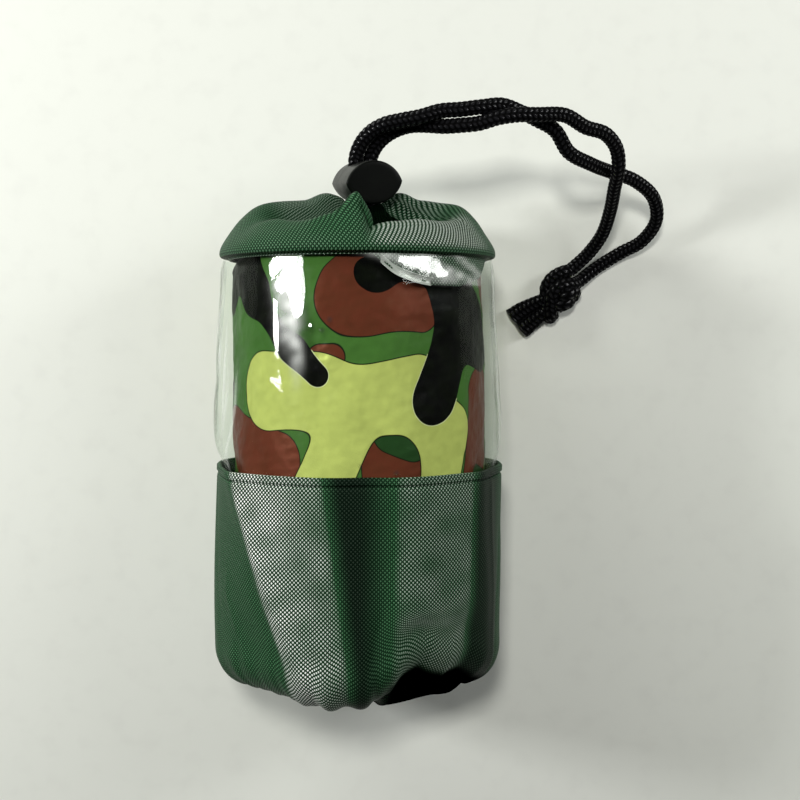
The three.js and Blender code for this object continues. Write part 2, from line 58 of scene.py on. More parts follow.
CLOTH = 0.8
FILM = 0.28
CUP_RADIUS = 34.6
CUP_AXIS_HEIGHT = 33.0
CUP_FOOT_Y = -58.0
CUP_CORNER = 9.0
HEM_Y = -5.5
HEM_DEPTH = 2.0
HEM_STITCH = 2.6
BASE_DEPTH = 0.85
BASE_BULGE = 2.2
SEAM_Y = 43.5
SEAM_RADIUS = 32.4
SEAM_AXIS_HEIGHT = 31.2
ROLL_END_Y = 45.3
ROLL_CORNER = 6.0
ROLL_LAP = 1.2
ROLL_RADIUS = 31
ROLL_FLOOR = 2.7
ROLL_FOOT_DEPTH = 3.45
FOLD_FADE = 5.0
DENT_REACH = 16.0
PUCKER_REACH = 7.0
WALL_HEIGHT = HEM_Y - CUP_FOOT_Y - CUP_CORNER

# Folds of the cloth over the roll: top angle, top y, foot angle, foot y, width in degrees, rise
BODY_FOLDS = (
    (147, -2, 99, -58, 8, 1.0),
    (168, -6, 128, -58, 15, -1.1),
    (86, 2, 82, -58, 9, -1.2),
    (64, 6, 66, -48, 12, 0.5),
    (38, 10, 30, -50, 6, 0.6),
    (20, 8, 12, -50, 10, -0.6),
    (118, 40, 104, 6, 8, -0.7),
    (58, 30, 50, -2, 11, -0.5),
    (205, 20, 215, -52, 10, -0.6),
    (338, 24, 326, -52, 9, -0.6),
)

# Finer creases of the cup's cloth, in the same columns
CUP_CREASES = (
    (139, -10, 103, -57, 2.2, 0.35),
    (131, -30, 112, -57, 2.5, -0.35),
    (152, -34, 134, -58, 2.4, 0.30),
    (93, -34, 96, -58, 2.2, 0.35),
    (79, -36, 88, -58, 2.2, -0.40),
    (74, -8, 99, -26, 3.0, 0.16),
    (60, -12, 84, -30, 3.2, -0.14),
    (46, -32, 62, -52, 2.6, 0.25),
    (24, -12, 22, -52, 2.4, 0.28),
    (10, -26, 16, -55, 2.4, -0.30),
    (172, -8, 160, -40, 3.0, -0.22),
    (190, -12, 186, -54, 3.0, 0.30),
    (222, -20, 226, -56, 2.6, 0.32),
    (318, -16, 314, -56, 2.6, 0.30),
    (350, -14, 346, -52, 2.8, 0.28),
)

# Flat facets of the cup whose yarns face the light, where a highlight is painted on their crowns: the
# angle of the left and of the right edge, each at the hem and at the foot, the softness of both in
# degrees, and how strong the painted highlight is. Those that face away from it are under 0, and
# there the cloth is painted darker as shade.
CUP_PAINTED_GLEAMS = (
    (142, 116, 116, 104, 1.6, 12, 0.55),
    (142, 116, 102, 92, 1.6, 4.0, 0.45),
    (80, 78, 39, 42, 12, 3.5, 0.27),
    (99, 90, 78, 80, 4.0, 9.0, -1.0),
    (38, 40, 14, 16, 3.0, 8.0, -0.95),
    (262, 268, 218, 226, 5.0, 5.0, 0.5),
    (352, 346, 316, 322, 5.0, 4.0, 0.5),
)

# Where the rim of the base is pushed in towards the neck, or sags out: angle, width, lift, pull
RIM_DENTS = (
    (65, 12, 6.9, 1.2),
    (42, 15, 5.2, 1.2),
    (86, 5, -0.9, 0),
    (94, 4, 0.8, 0.3),
    (100, 5, -0.8, 0),
    (135, 16, 1.4, 1.2),
    (156, 7, 0.8, 0.6),
    (232, 14, 1.0, 0),
    (305, 12, 1.1, 0),
)

# Small puckers of the sewn rim, in the same columns
RIM_PUCKERS = (
    (18, 3.0, 0.45, 0.3),
    (30, 2.2, -0.35, 0),
    (39, 2.5, 0.30, 0.2),
    (49, 2.0, -0.45, 0),
    (62, 2.4, 0.40, 0.3),
    (73, 2.0, -0.55, 0),
    (81, 1.8, 0.45, 0.3),
    (105, 2.4, 0.55, 0.4),
    (113, 2.2, -0.45, 0),
    (122, 2.6, 0.45, 0.3),
    (131, 2.0, -0.35, 0),
    (145, 2.4, 0.35, 0.3),
    (163, 2.6, -0.40, 0),
    (176, 3.0, 0.45, 0.3),
    (192, 3.0, -0.40, 0),
    (206, 2.8, 0.40, 0.3),
    (220, 2.6, -0.40, 0),
    (246, 2.8, 0.45, 0.3),
    (262, 3.0, -0.30, 0),
    (284, 2.8, 0.40, 0.3),
    (322, 2.6, -0.40, 0),
    (340, 2.8, 0.45, 0.3),
)

# The clear window: y, radius, height of the flat under it
WINDOW_ROWS = (
    (-12, 33.1, 1.5),
    (-7.5, 33.1, 1.5),
    (-5.2, 33.5, 1.2),
    (-2.6, 34.05, 0),
    (2, 34.2, 0),
    (14, 33.8, 0),
    (27, 33.2, 0),
    (37, 32.6, 0),
    (43.2, 32.4, 0),
)

# Wrinkles of the film, in the columns of BODY_FOLDS
FILM_CREASES = (
    (176, 42, 170, -4, 2.2, 0.55),
    (166, 40, 176, 2, 1.8, -0.45),
    (160, 30, 166, -5, 1.6, 0.50),
    (183, 36, 180, 4, 2.4, 0.45),
    (154, 16, 160, -5, 1.5, -0.35),
    (139, 32, 152, 8, 1.6, 0.28),
    (144, 12, 154, -4, 1.4, 0.30),
    (149, 41, 143, 26, 2.0, -0.25),
    (126, 16, 112, 11, 1.5, 0.16),
    (8, 40, 4, -5, 2.0, 0.45),
    (14, 18, 10, -4, 1.6, -0.35),
    (0, 36, -2, 0, 2.2, -0.40),
    (20, 10, 17, -5, 1.5, 0.30),
    (205, 40, 200, 0, 2.6, 0.35),
    (336, 38, 340, 0, 2.6, 0.35),
)

# Painted reflections, white streaks in the same columns with strength: the window's glare at the
# upper left, and the glare where the film is pressed to the seam allowance
FILM_STREAKS = (
    (119, 36, 116, 30, 4, 1.0),
    (114, 25, 112, 22, 2.2, 0.6),
    (77, 43, 52, 38.5, 6, 0.55),
    (62, 42, 36, 37.5, 5, 0.50),
    (44, 43, 30, 39.5, 4, 0.30),
)

# Painted highlights: bright lines along the creases of the film's slack sides
FILM_GLINTS = (
    (178, 43, 172, 8, 0.7, 0.75),
    (171, 40, 175, 14, 0.6, 0.60),
    (166, 43, 161, 22, 0.5, 0.70),
    (161, 26, 168, -4, 0.6, 0.65),
    (155, 22, 158, -5, 0.5, 0.50),
    (150, 12, 156, -5, 0.5, 0.45),
    (182, 22, 177, -5, 0.7, 0.60),
    (143, 10, 148, -4, 0.5, 0.35),
    (10, 42, 7, -2, 0.7, 0.65),
    (3, 40, 5, 6, 0.7, 0.60),
    (15, 30, 12, -5, 0.6, 0.45),
    (-3, 30, 2, -5, 0.8, 0.55),
    (20, 20, 18, 2, 0.5, 0.30),
)

# The rolled bag: y, radius, shift to the right, how much of the free edge's step
ROLL_ROWS = (
    (-29, 31.5, 0, 0.3),
    (-17, 31.4, 0.3, 1),
    (-6, 31.3, 0.5, 1),
    (8, 31.1, 0.6, 1),
    (24, 30.9, 0.5, 1),
    (33, 30.8, 0.2, 1),
)

# The collar, from the tip of its inner seam allowance over the shoulder to the neck:
# share of its radius, y at the front, sides and back, how much of the peak and pleats, floor
COLLAR_ROWS = (
    (0.925, 43.6, 43.6, 43.6, 0, 0, 1.9),
    (0.955, 44.1, 44.1, 44.1, 0, 0, 1.3),
    (0.991, 44.2, 44.2, 44.2, 0, 0, 0.5),
    (0.985, 45.9, 45.8, 45.8, 0.1, 0.15, 0.5),
    (0.93, 48.4, 48.6, 49.0, 0.5, 0.35, 0.5),
    (0.845, 49.7, 52.0, 52.4, 1.0, 0.6, 0.5),
    (0.74, 48.9, 54.2, 54.2, 0.75, 0.9, 0.5),
    (0.58, 47.7, 55.0, 55.0, 0.15, 1.1, 0.5),
    (0.43, 48.2, 55.6, 55.4, 0, 1.0, 0.5),
    (0.31, 49.8, 55.9, 55.4, 0, 0.7, 0.5),
    (0.2, 51.8, 55.0, 54.8, 0, 0.3, 0.5),
    (0.126, 53.4, 53.8, 53.6, 0, 0, 0.5),
)
COLLAR_RADIUS = 33.0
COLLAR_CLOTH = 0.8
NECK_X = 2.2
NECK_Z = 39.5
NECK_SHARE = 0.126
CREASE_SHARE = 0.92

# Gathers from the crest to the neck: angle, width, rise
PLEATS = (
    (14, 9, 1.0),
    (37, 8, -1.1),
    (58, 9, 0.9),
    (128, 10, 1.0),
    (146, 7, -1.2),
    (164, 9, 1.1),
    (188, 8, -1.0),
    (210, 9, 0.9),
    (233, 8, -1.1),
    (256, 9, 1.0),
    (279, 8, -1.0),
    (303, 10, 1.1),
    (329, 8, -1.0),
    (350, 7, 0.5),
)
FINE_PLEATS = (
    (6, 3.0, 0.5),
    (24, 3.2, -0.6),
    (31, 2.6, 0.5),
    (46, 3.0, 0.6),
    (66, 2.8, -0.5),
    (119, 2.8, -0.5),
    (136, 2.8, 0.6),
    (154, 3.0, 0.6),
    (173, 3.0, -0.6),
    (181, 2.8, 0.5),
    (198, 3.0, -0.6),
    (221, 3.2, 0.6),
    (243, 3.0, 0.6),
    (267, 3.2, -0.6),
    (290, 3.0, 0.6),
    (314, 3.2, -0.6),
    (338, 3.0, 0.6),
    (356, 2.8, -0.5),
)

# Gathers that stand up beside the cord lock, in the same columns
NECK_GATHERS = (
    (20, 16, 2.6),
    (160, 18, 2.2),
)

# The front edge of the collar across the bag: x, rise
PEAK = (
    (-15, 0),
    (-9, 0.9),
    (-4.2, 2.3),
    (-2, 4.4),
    (-0.6, 6.1),
    (0.8, 6.9),
    (2.0, 4.8),
    (3.1, -1.2),
    (5.5, -0.3),
    (8, 0.2),
    (24, 0.3),
)

# How far the seam allowance hangs down inside the window: angle, length
ALLOWANCE = (
    (10, 0.5),
    (22, 5.0),
    (40, 7.2),
    (60, 7.0),
    (72, 4.6),
    (82, 0.5),
)
# Painted shade and painted highlight on the seam allowance seen through the window
ALLOWANCE_MARKS = {"hollow": 0.0, "gleam": 0.25}

# The cord lock, in its own frame: x across, y towards the free cords, z out of its front face
LOCK_FRONT = (4.5, 60.0, 50.0)
LOCK_OUTWARD = (0.274, -0.108, 0.956)
LOCK_ROLL = 2.5
LOCK_HALF_WIDTH = 6.6
LOCK_HALF_HEIGHT = 4.9
LOCK_LENGTH = 15.0
LOCK_GIRTH = 38
LOCK_WALL = 1.4
LOCK_HOLE_DEPTH = 9.8
LOCK_HOLE_HALF_WIDTH = 3.7
LOCK_HOLE_HALF_HEIGHT = 1.9
PLUNGER_TRAVEL = 2.5
PLUNGER_TIP_DEPTH = 5.5
PLUNGER_BUTTON = 3.2
PLUNGER_GAP = 0.35

# The braid: columns of slanted floats round the cord, each a pitch long. Its rings are turned by
# directions that no part of their route runs along.
BRAID_DEPTH = 0.34
BRAID_PITCH = 1.25
BRAID_COLUMNS = 8
BRAID_SLANT = 0.42
BRAID_SHIFT = 0.25
CORD_TURN = (0.25, 0.62, -0.74)
KNOT_TURN = (0.3, 0.5, 0.81)
TAIL_TURN = (0, 0, 1)

# Both runs of the drawcord, from inside the neck through the cord lock to the knot, and which of
# their points is where they leave the cord lock
EXIT_POINT = 3
CORD_A = (
    (3.9, 50.6, 38.8), (3.7, 56.0, 39.5), (3.5, 61.2, 40.2), (3.3, 66.4, 40.8), (4.4, 69.0, 41.2),
    (6.4, 71.2, 41.9), (9.4, 72.9, 42.8), (12.8, 73.7, 43.8), (16.4, 73.6, 44.8), (20.2, 73.2, 46.0),
    (24.2, 73.3, 46.8), (28.2, 73.7, 46.9), (32.6, 74.9, 47.4), (37.0, 75.6, 47.0), (42.0, 75.9, 45.6),
    (48.4, 76.3, 42.4), (53.9, 74.2, 38.3), (59.0, 73.2, 35.0), (62.3, 70.3, 31.4), (63.4, 66.2, 28.4),
    (63.4, 61.6, 22.6), (63.5, 57.0, 16.2), (62.4, 51.2, 9.8), (59.4, 46.6, 6.2), (54.6, 42.1, 5.1),
)
CORD_B = (
    (0.6, 50.5, 39.8), (0.4, 55.8, 40.5), (0.2, 60.9, 41.1), (-0.1, 66.2, 41.8), (1.0, 69.4, 43.2),
    (3.3, 71.9, 44.9), (6.6, 73.5, 46.6), (10.6, 74.3, 47.6), (15.0, 75.0, 48.4), (19.4, 76.3, 48.0),
    (24.0, 76.7, 47.8), (29.0, 77.4, 47.2), (33.6, 78.1, 45.3), (38.0, 77.0, 43.0), (42.2, 75.5, 40.8),
    (46.6, 73.4, 38.7), (50.3, 68.9, 35.2), (56.2, 66.8, 30.0), (62.4, 65.8, 22.6), (69.3, 64.1, 18.2),
    (75.0, 60.3, 13.2), (76.6, 54.8, 8.4), (73.6, 49.9, 4.4), (68.4, 47.0, 2.4), (62.0, 43.0, 1.9),
    (56.9, 39.1, 3.3),
)
TAIL_A = (
    (48.6, 34.9, 3.6), (46.4, 33.9, 3.2), (44.6, 33.0, 2.7), (42.2, 31.6, 2.1), (39.6, 29.6, 1.8),
)
TAIL_B = (
    (49.6, 32.2, 3.3), (47.6, 30.8, 2.9), (46.0, 29.6, 2.4), (44.2, 28.1, 1.9), (42.0, 26.3, 1.8),
)

# The knot, in its own frame: along towards the free cords, across to the upper left, and height
# over the table. The first two wraps carry on from the cords.
KNOT_MIDDLE = (51.6, 35.3)
KNOT_ALONG = (0.81, 0.58)
KNOT_SWELL = 1.06
TAIL_SWELL = 1.04
KNOT_WRAPS = (
    ((6.4, 3.8, 5.1), (5.0, 4.4, 5.6), (3.0, 4.8, 5.6), (0.8, 4.6, 5.2), (-1.0, 3.5, 4.8), (-1.8, 1.8, 4.2),
     (-1.4, -0.2, 3.0), (0.4, -1.0, 2.0)),
    ((6.5, 0, 3.3), (5.2, 0.4, 5.2), (3.4, 1.4, 6.7), (1.2, 1.9, 7.0), (-1.0, 1.2, 6.5), (-2.6, -0.6, 5.5),
     (-3.8, -2.3, 4.5), (-4.4, -3.2, 2.9), (-3.0, -3.0, 1.9)),
    ((-0.8, 0.4, 3.4), (0.6, -0.4, 6.0), (2.2, -0.8, 6.8), (3.8, -1.0, 5.9), (4.4, -1.6, 4.2),
     (3.6, -2.2, 2.5), (1.6, -2.2, 1.9)),
    ((-1.6, -1.0, 3.2), (-0.8, -1.8, 5.6), (0.6, -2.4, 5.7), (1.8, -2.6, 4.2), (1.0, -2.6, 2.5),
     (-1.0, -2.2, 1.9)),
    ((5.4, 2.6, 2.6), (2.8, 2.8, 3.6), (0.2, 1.6, 3.4), (-2.4, 0.2, 3.2), (-4.6, 0.4, 3.0)),
    ((4.6, -0.4, 2.4), (2.0, -0.6, 3.2), (-1.0, -1.2, 3.2), (-3.6, -1.0, 3.4), (-5.4, -0.6, 2.8)),
)


# Arrays and small helpers

def turns_apart(first, second):
    """Degrees between two angles, from 0 to 180."""
    return np.abs((first - second + 540) % 360 - 180)


def hill(distance, width):
    """A soft hill: e to the minus square of distance over width."""
    return np.exp(-((distance / width) ** 2))


def ease(value, low, high):
    """0 below low, 1 above high and a smooth step in between."""
    part = np.clip((value - low) / (high - low), 0, 1)
    return part * part * (3 - 2 * part)


def hill_at(angle, place, width):
    """A soft hill at a place on the circle."""
    return hill(turns_apart(angle, place), width)


def near(angle, place, inner, outer):
    """1 within inner degrees of a place on the circle, 0 beyond outer degrees."""
    return ease(-turns_apart(angle, place), -outer, -inner)


def lerp(start, end, part):
    """The value that lies a part of the way from start to end."""
    return start + (end - start) * part


def through(keys, values, at):
    """A cubic curve through the table's points, whose slopes are those of its neighbours."""
    keys, values = np.asarray(keys, float), np.asarray(values, float)
    slopes = np.gradient(values, keys)
    at = np.clip(at, keys[0], keys[-1])
    i = np.clip(np.searchsorted(keys, at, side="right") - 1, 0, len(keys) - 2)
    span = keys[i + 1] - keys[i]
    part = (at - keys[i]) / span
    return (
        (2 * part**3 - 3 * part**2 + 1) * values[i]
        + (part**3 - 2 * part**2 + part) * span * slopes[i]
        + (3 * part**2 - 2 * part**3) * values[i + 1]
        + (part**3 - part**2) * span * slopes[i + 1]
    )


def unit(vectors):
    """Vectors divided by their lengths."""
    return vectors / np.maximum(np.linalg.norm(vectors, axis=-1, keepdims=True), 1e-12)


def ripples(u, v, wavelength, seed, waves=9):
    """Smooth chance relief from -1 to 1: a mean of sines with seeded directions and phases."""
    chance = np.random.default_rng(seed)
    turn = chance.uniform(0, np.pi, waves)
    pace = 2 * np.pi / (wavelength * chance.uniform(0.7, 1.5, waves))
    phase = chance.uniform(0, 2 * np.pi, waves)
    total = sum(
        np.sin(pace[k] * (u * np.cos(turn[k]) + v * np.sin(turn[k])) + phase[k]) for k in range(waves)
    )
    return total / np.sqrt(waves)


def crumple(u, v, wavelength, seed):
    """Sharp creases between soft facets: one minus the root of the size of chance relief."""
    first = ripples(u, v, wavelength, seed)
    second = ripples(u, v, wavelength * 0.6, seed + 1)
    return 1 - np.sqrt(np.abs(first) + 0.02) - 0.4 * np.sqrt(np.abs(second) + 0.02)


class Shell:
    """Collects closed grids of points, in millimetres, and makes one mesh object of them."""

    def __init__(self):
        self.points, self.corners, self.sizes, self.places, self.marks = [], [], [], [], {}
        self.count = 0

    def add(self, points, places, wrap_rows=False, poles=False, marks=None):
        """Adds a grid of rows, each a ring. Each quad joins four neighbours, the rows close in a
        ring too where they wrap, and poles close both ends with a fan round the mean of the end
        row. places is the UV, with one column more than points, and one row more where they wrap.
        marks are values kept at the points."""
        rows, columns = points.shape[:2]
        i = np.arange(rows if wrap_rows else rows - 1)[:, None]
        j = np.arange(columns)[None, :]
        i_next, j_next = (i + 1) % rows, (j + 1) % columns
        quads = np.stack([
            i * columns + j, i * columns + j_next, i_next * columns + j_next, i_next * columns + j,
        ], axis=-1).reshape(-1, 4)
        uv = np.stack([
            places[i, j], places[i, j + 1], places[i + 1, j + 1], places[i + 1, j],
        ], axis=-2).reshape(-1, 4, 2)
        flat = points.reshape(-1, 3)
        faces = [(quads, uv)]
        values = {name: np.asarray(value, float).ravel() for name, value in (marks or {}).items()}
        if poles:
            for row, low in ((0, True), (rows - 1, False)):
                pole = len(flat)
                ring = np.arange(row * columns, (row + 1) * columns)
                flat = np.vstack([flat, flat[ring].mean(0)])
                values = {name: np.append(value, value[ring].mean()) for name, value in values.items()}
                following = np.roll(ring, -1)
                middle = np.full(columns, pole)
                fan = [middle, following, ring] if low else [middle, ring, following]
                edge = places[row, :columns]
                after = places[row, 1:columns + 1]
                centre = np.broadcast_to(edge.mean(0), edge.shape)
                fan_uv = [centre, after, edge] if low else [centre, edge, after]
                faces.append((np.stack(fan, axis=-1), np.stack(fan_uv, axis=-2)))
        volume = sum(
            float(np.einsum("ij,ij->i", flat[f[:, 0]], np.cross(flat[f[:, k]], flat[f[:, k + 1]])).sum())
            for f, _ in faces for k in range(1, f.shape[1] - 1)
        )
        for f, f_uv in faces:
            if volume < 0:
                f, f_uv = f[:, ::-1], f_uv[:, ::-1]
            self.corners.append((f + self.count).ravel())
            self.sizes.append(np.full(len(f), f.shape[1]))
            self.places.append(f_uv.reshape(-1, 2))
        for name in sorted({*self.marks, *values}):
            older = self.marks.get(name, np.zeros(self.count))
            self.marks[name] = np.concatenate([older, values.get(name, np.zeros(len(flat)))])
        self.points.append(flat)
        self.count += len(flat)
        return self

    def build(self, name, body, slot, material, stands_for):
        """Makes the object, smooth shaded, with its UV map and marks, and lets it ride on its body."""
        mesh = bpy.data.meshes.new(name)
        corners, sizes = np.concatenate(self.corners), np.concatenate(self.sizes)
        mesh.vertices.add(self.count)
        mesh.vertices.foreach_set("co", (np.concatenate(self.points) * MM).astype(np.float32).ravel())
        mesh.loops.add(len(corners))
        mesh.loops.foreach_set("vertex_index", corners.astype(np.int32))
        mesh.polygons.add(len(sizes))
        mesh.polygons.foreach_set("loop_start", np.concatenate([[0], np.cumsum(sizes)[:-1]]).astype(np.int32))
        mesh.polygons.foreach_set("loop_total", sizes.astype(np.int32))
        mesh.update(calc_edges=True)
        uv_map = mesh.uv_layers.new(name="UVMap")
        uv_map.data.foreach_set("uv", np.concatenate(self.places).astype(np.float32).ravel())
        for mark, value in self.marks.items():
            mesh.attributes.new(mark, "FLOAT", "POINT").data.foreach_set("value", value.astype(np.float32))
        mesh.polygons.foreach_set("use_smooth", np.ones(len(sizes), bool))
        mesh.materials.append(material)
        piece = bpy.data.objects.new(name, mesh)
        bpy.context.scene.collection.objects.link(piece)
        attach(piece, body)
        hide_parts(*stands_for)
        return piece


def around(count):
    """Even angles in degrees, and the same with the closing one, for UVs."""
    return np.arange(count) * 360.0 / count, np.arange(count + 1) * 360.0 / count


def places_of(u, v):
    """A UV grid from the u of each column and the v of each row, or from full grids."""
    u, v = np.asarray(u, float), np.asarray(v, float)
    if u.ndim == 1 and v.ndim == 1:
        u, v = np.meshgrid(u, v)
    return np.stack(np.broadcast_arrays(u, v), axis=-1)


# The bag's body

def axis_height(y):
    """The height of the bag's axis, on a straight line from the hem to the seam."""
    return lerp(CUP_AXIS_HEIGHT, SEAM_AXIS_HEIGHT, np.clip((y - HEM_Y) / (SEAM_Y - HEM_Y), 0, 1))


def folds(angle, y, table, crisp=False):
    """The sum of all folds: each a ridge or trough, straight from its top place to its foot place,
    and fading out beyond both. A crisp one falls off as one over one plus the square."""
    rise = 0
    for top_angle, top_y, foot_angle, foot_y, width, height in table:
        along = np.clip((y - top_y) / (foot_y - top_y), 0, 1)
        beyond = np.maximum(0, np.maximum(y - top_y, foot_y - y))
        away = turns_apart(angle, lerp(top_angle, foot_angle, along))
        share = hill(away, 3 * width) / (1 + (away / width) ** 2) if crisp else hill(away, width)
        rise = rise + height * share * hill(beyond, FOLD_FADE)
    return rise


def body_point(angle, radius, y, floor, shift=0.0, extra=0.0):
    """A circle round the bag's axis, with its folds, and flattened where it lies on the table."""
    settled = radius + folds(angle, y, BODY_FOLDS) * (radius / CUP_RADIUS) + extra
    turn = np.radians(angle)
    z = axis_height(y) + settled * np.sin(turn)
    return np.stack(np.broadcast_arrays(shift + settled * np.cos(turn), y, np.maximum(floor, z)), axis=-1)


def cup_point(angle, depth, step, fine=1.0, extra=0.0):
    """A point of the cup below its outer face. A step over 0 is the height above the foot, one
    from 0 to -1 a quarter turn round the corner, and on to -2 at the middle of the base."""
    foot, corner, radius = CUP_FOOT_Y + depth, CUP_CORNER - depth, CUP_RADIUS - depth
    turn = np.clip(-step, 0, 1) * np.pi / 2
    y = foot + corner * (1 - np.sin(turn)) + np.maximum(0, step)
    across = radius - corner * (1 - np.cos(turn))
    across = across * np.where(step < -1, 2 + step, 1)
    near_foot = ease(DENT_REACH - np.maximum(0, step), 0, DENT_REACH)
    near_rim = ease(across / radius, 0.45, 0.95)
    lift = pull = 0
    for place, width, up, inward in RIM_DENTS:
        share = hill_at(angle, place, width) * near_foot * near_rim
        lift, pull = lift + up * share, pull + inward * share
    close_by = ease(PUCKER_REACH - np.maximum(0, step), 0, PUCKER_REACH) * ease(across / radius, 0.55, 0.85)
    for place, width, up, inward in RIM_PUCKERS:
        share = hill_at(angle, place, width) * close_by * fine
        lift, pull = lift + up * share, pull + inward * share
    bulge = BASE_BULGE * ease(1 - across / radius, 0.3, 1)
    on_wall = ease(step, -0.9, 0) * fine
    creases = folds(angle, y, CUP_CREASES, crisp=True) * on_wall
    weave_sag = 0.10 * ripples(np.radians(angle) * CUP_RADIUS, y, 17, 4) * on_wall
    floor = 0 if np.max(depth) < CLOTH else np.max(depth)
    return body_point(
        angle, across - pull * (across / radius), y + lift - bulge, floor, 0.0, creases + weave_sag + extra,
    )


def hem_profile(below, angle):
    """How far the hem stands out of the wall: a rounded turned edge, then a groove whose
    stitches pull it in."""
    edge = 0.38 * ease(below, -0.05, 0.35) * (1 - ease(below, HEM_DEPTH - 0.45, HEM_DEPTH - 0.05)) - 0.12
    stitch = 0.5 + 0.5 * np.cos(np.radians(angle) * CUP_RADIUS * 2 * np.pi / HEM_STITCH)
    groove = -(0.20 + 0.22 * stitch) * hill(below - HEM_DEPTH, 0.32)
    return edge * (below < HEM_DEPTH + 0.3) + groove + 0.12 * ease(below, HEM_DEPTH, HEM_DEPTH + 1.2)


def cup_painted_gleam(angle, step):
    """How much highlight is painted on the yarns, and under 0 how much shade is painted on them: for each
    facet, a soft step up at its left edge and down at its right edge, both edges straight from the
    hem to the foot."""
    along = np.clip(1 - step / WALL_HEIGHT, 0, 1)
    total = 0
    for left, left_foot, right, right_foot, left_soft, right_soft, strength in CUP_PAINTED_GLEAMS:
        rise = ease(lerp(left, left_foot, along) - angle, -left_soft, left_soft)
        fall = ease(angle - lerp(right, right_foot, along), -right_soft, right_soft)
        total = total + strength * rise * fall
    uneven = 0.22 * ripples(np.radians(angle) * CUP_RADIUS, step, 9, 17)
    return total + np.maximum(total, 0) * uneven


def turned_in(angle, low, high, step):
    """How far the cloth lies below the turned-in part of the rim: 1 in its middle."""
    return near(angle, 44, 26, 36) * ease(-step, low, high)


def cup_cloth(material):
    """The cup's wall as one sheet: hem, wall and corner outside, and the same way back inside. One
    mark paints highlight and shade on its facets, and another paints the shade under the turned-in
    rim black."""
    angles, closing = around(400)
    hem = np.concatenate([np.linspace(0, 3.4, 24), np.linspace(3.9, 6.5, 6)])
    wall = np.linspace(WALL_HEIGHT - 7, 1, 76)
    steps = np.concatenate([WALL_HEIGHT - hem, wall, np.linspace(0.5, -0.84, 26)])
    below = np.maximum(0, WALL_HEIGHT - steps)[:, None]
    outer = cup_point(angles[None], 0.0, steps[:, None], 1.0, hem_profile(below, angles[None]))
    back = np.concatenate([np.linspace(-0.84, 0, 12), np.linspace(2, WALL_HEIGHT, 26)])
    inner = cup_point(angles[None], CLOTH, back[:, None])
    lengths = np.where(steps > 0, steps, steps * CUP_CORNER * np.pi / 2)
    back_lengths = np.where(back > 0, back, back * CUP_CORNER * np.pi / 2) - 140
    v = np.concatenate([lengths, back_lengths, [lengths[0] - 140]])
    both = np.concatenate([steps, back])[:, None]
    # Painted highlight and shade by facet, and painted shade: the corner under the turned-in rim black
    marks = {"gleam": cup_painted_gleam(angles[None], both), "hollow": turned_in(angles[None], 0.45, 0.62, both)}
    places = places_of(np.radians(closing) * CUP_RADIUS, v)
    shell = Shell().add(np.concatenate([outer, inner]), places, wrap_rows=True, marks=marks)
    piece = shell.build("cup_cloth", "pouch", "oxford_cloth", material, ["base_wall"])


def base_cloth(material):
    """The round base: a disc from the corner to the middle, bulged out and a little crumpled."""
    angles, closing = around(240)
    steps = np.concatenate([np.linspace(-0.62, -1, 12), np.linspace(-1.05, -1.93, 34)])
    turns = angles[None]
    outer = cup_point(turns, BASE_DEPTH, steps[:, None])
    inner = cup_point(turns, BASE_DEPTH + CLOTH, steps[:, None])
    relief = 0.35 * ripples(outer[..., 0], outer[..., 2], 13, 21) * ease(-steps, 0.95, 1.3)[:, None]
    relief = relief - 3.2 * turned_in(turns, 0.88, 1.12, steps[:, None]) * ease(2 + steps, 0.1, 0.6)[:, None]
    outer[..., 1] += relief
    inner[..., 1] += relief
    grid = np.concatenate([outer[::-1], inner])
    flat = np.concatenate([grid, grid[:, :1]], axis=1)
    both = np.concatenate([steps[::-1], steps])[:, None]
    # Painted shade: the base under the turned-in rim is painted black
    shade = turned_in(turns, 0.5, 0.7, both) * ease(2 + both, 0.05, 0.35)
    shell = Shell().add(grid, places_of(flat[..., 0], flat[..., 2]), poles=True, marks={"hollow": shade})
    piece = shell.build("base_cloth", "pouch", "oxford_cloth", material, ["base_disc"])


def film_relief(angle, y):
    """Relief of the film between cup and collar: creases, slow waves and chance relief, mostly at
    its slack sides, fine relief where it is pressed to the allowance, and a lift over that."""
    arc = np.radians(angle) * SEAM_RADIUS
    sides = 0.3 + 0.7 * ease(turns_apart(angle, 80), 20, 45)
    waves = np.sin(arc / 7.5 + 0.9 * np.sin(y / 9)) * np.cos(y / 11 + arc / 23)
    relief = folds(angle, y, FILM_CREASES, crisp=True) + 0.16 * sides * waves
    relief = relief + 0.06 * sides * ripples(arc, y, 8, 31)
    relief = relief + 0.035 * ripples(arc, y, 5, 37) * (hill_at(angle, 54, 26) * ease(y, 33, 37))
    slack = ease(y, -6, 2) * ease(y, 44, 40)
    return relief * slack + 0.75 * hill_at(angle, 58, 22) * hill(y - 36.5, 4.5)


def film_painted_glare(angle, y):
    """How much reflection and highlight is painted white on the film: its glare streaks, which end
    below the allowance's edge apart from those at the upper left, and the bright lines along its
    creases."""
    uneven = 0.75 + 0.25 * ripples(np.radians(angle) * SEAM_RADIUS, y, 4, 33)
    streaks = folds(angle, y, FILM_STREAKS) * uneven
    streaks = streaks * np.maximum(ease(y, 36.2, 37.4), ease(angle, 95, 102))
    return np.clip(streaks + folds(angle, y, FILM_GLINTS, crisp=True), 0, 1.2)


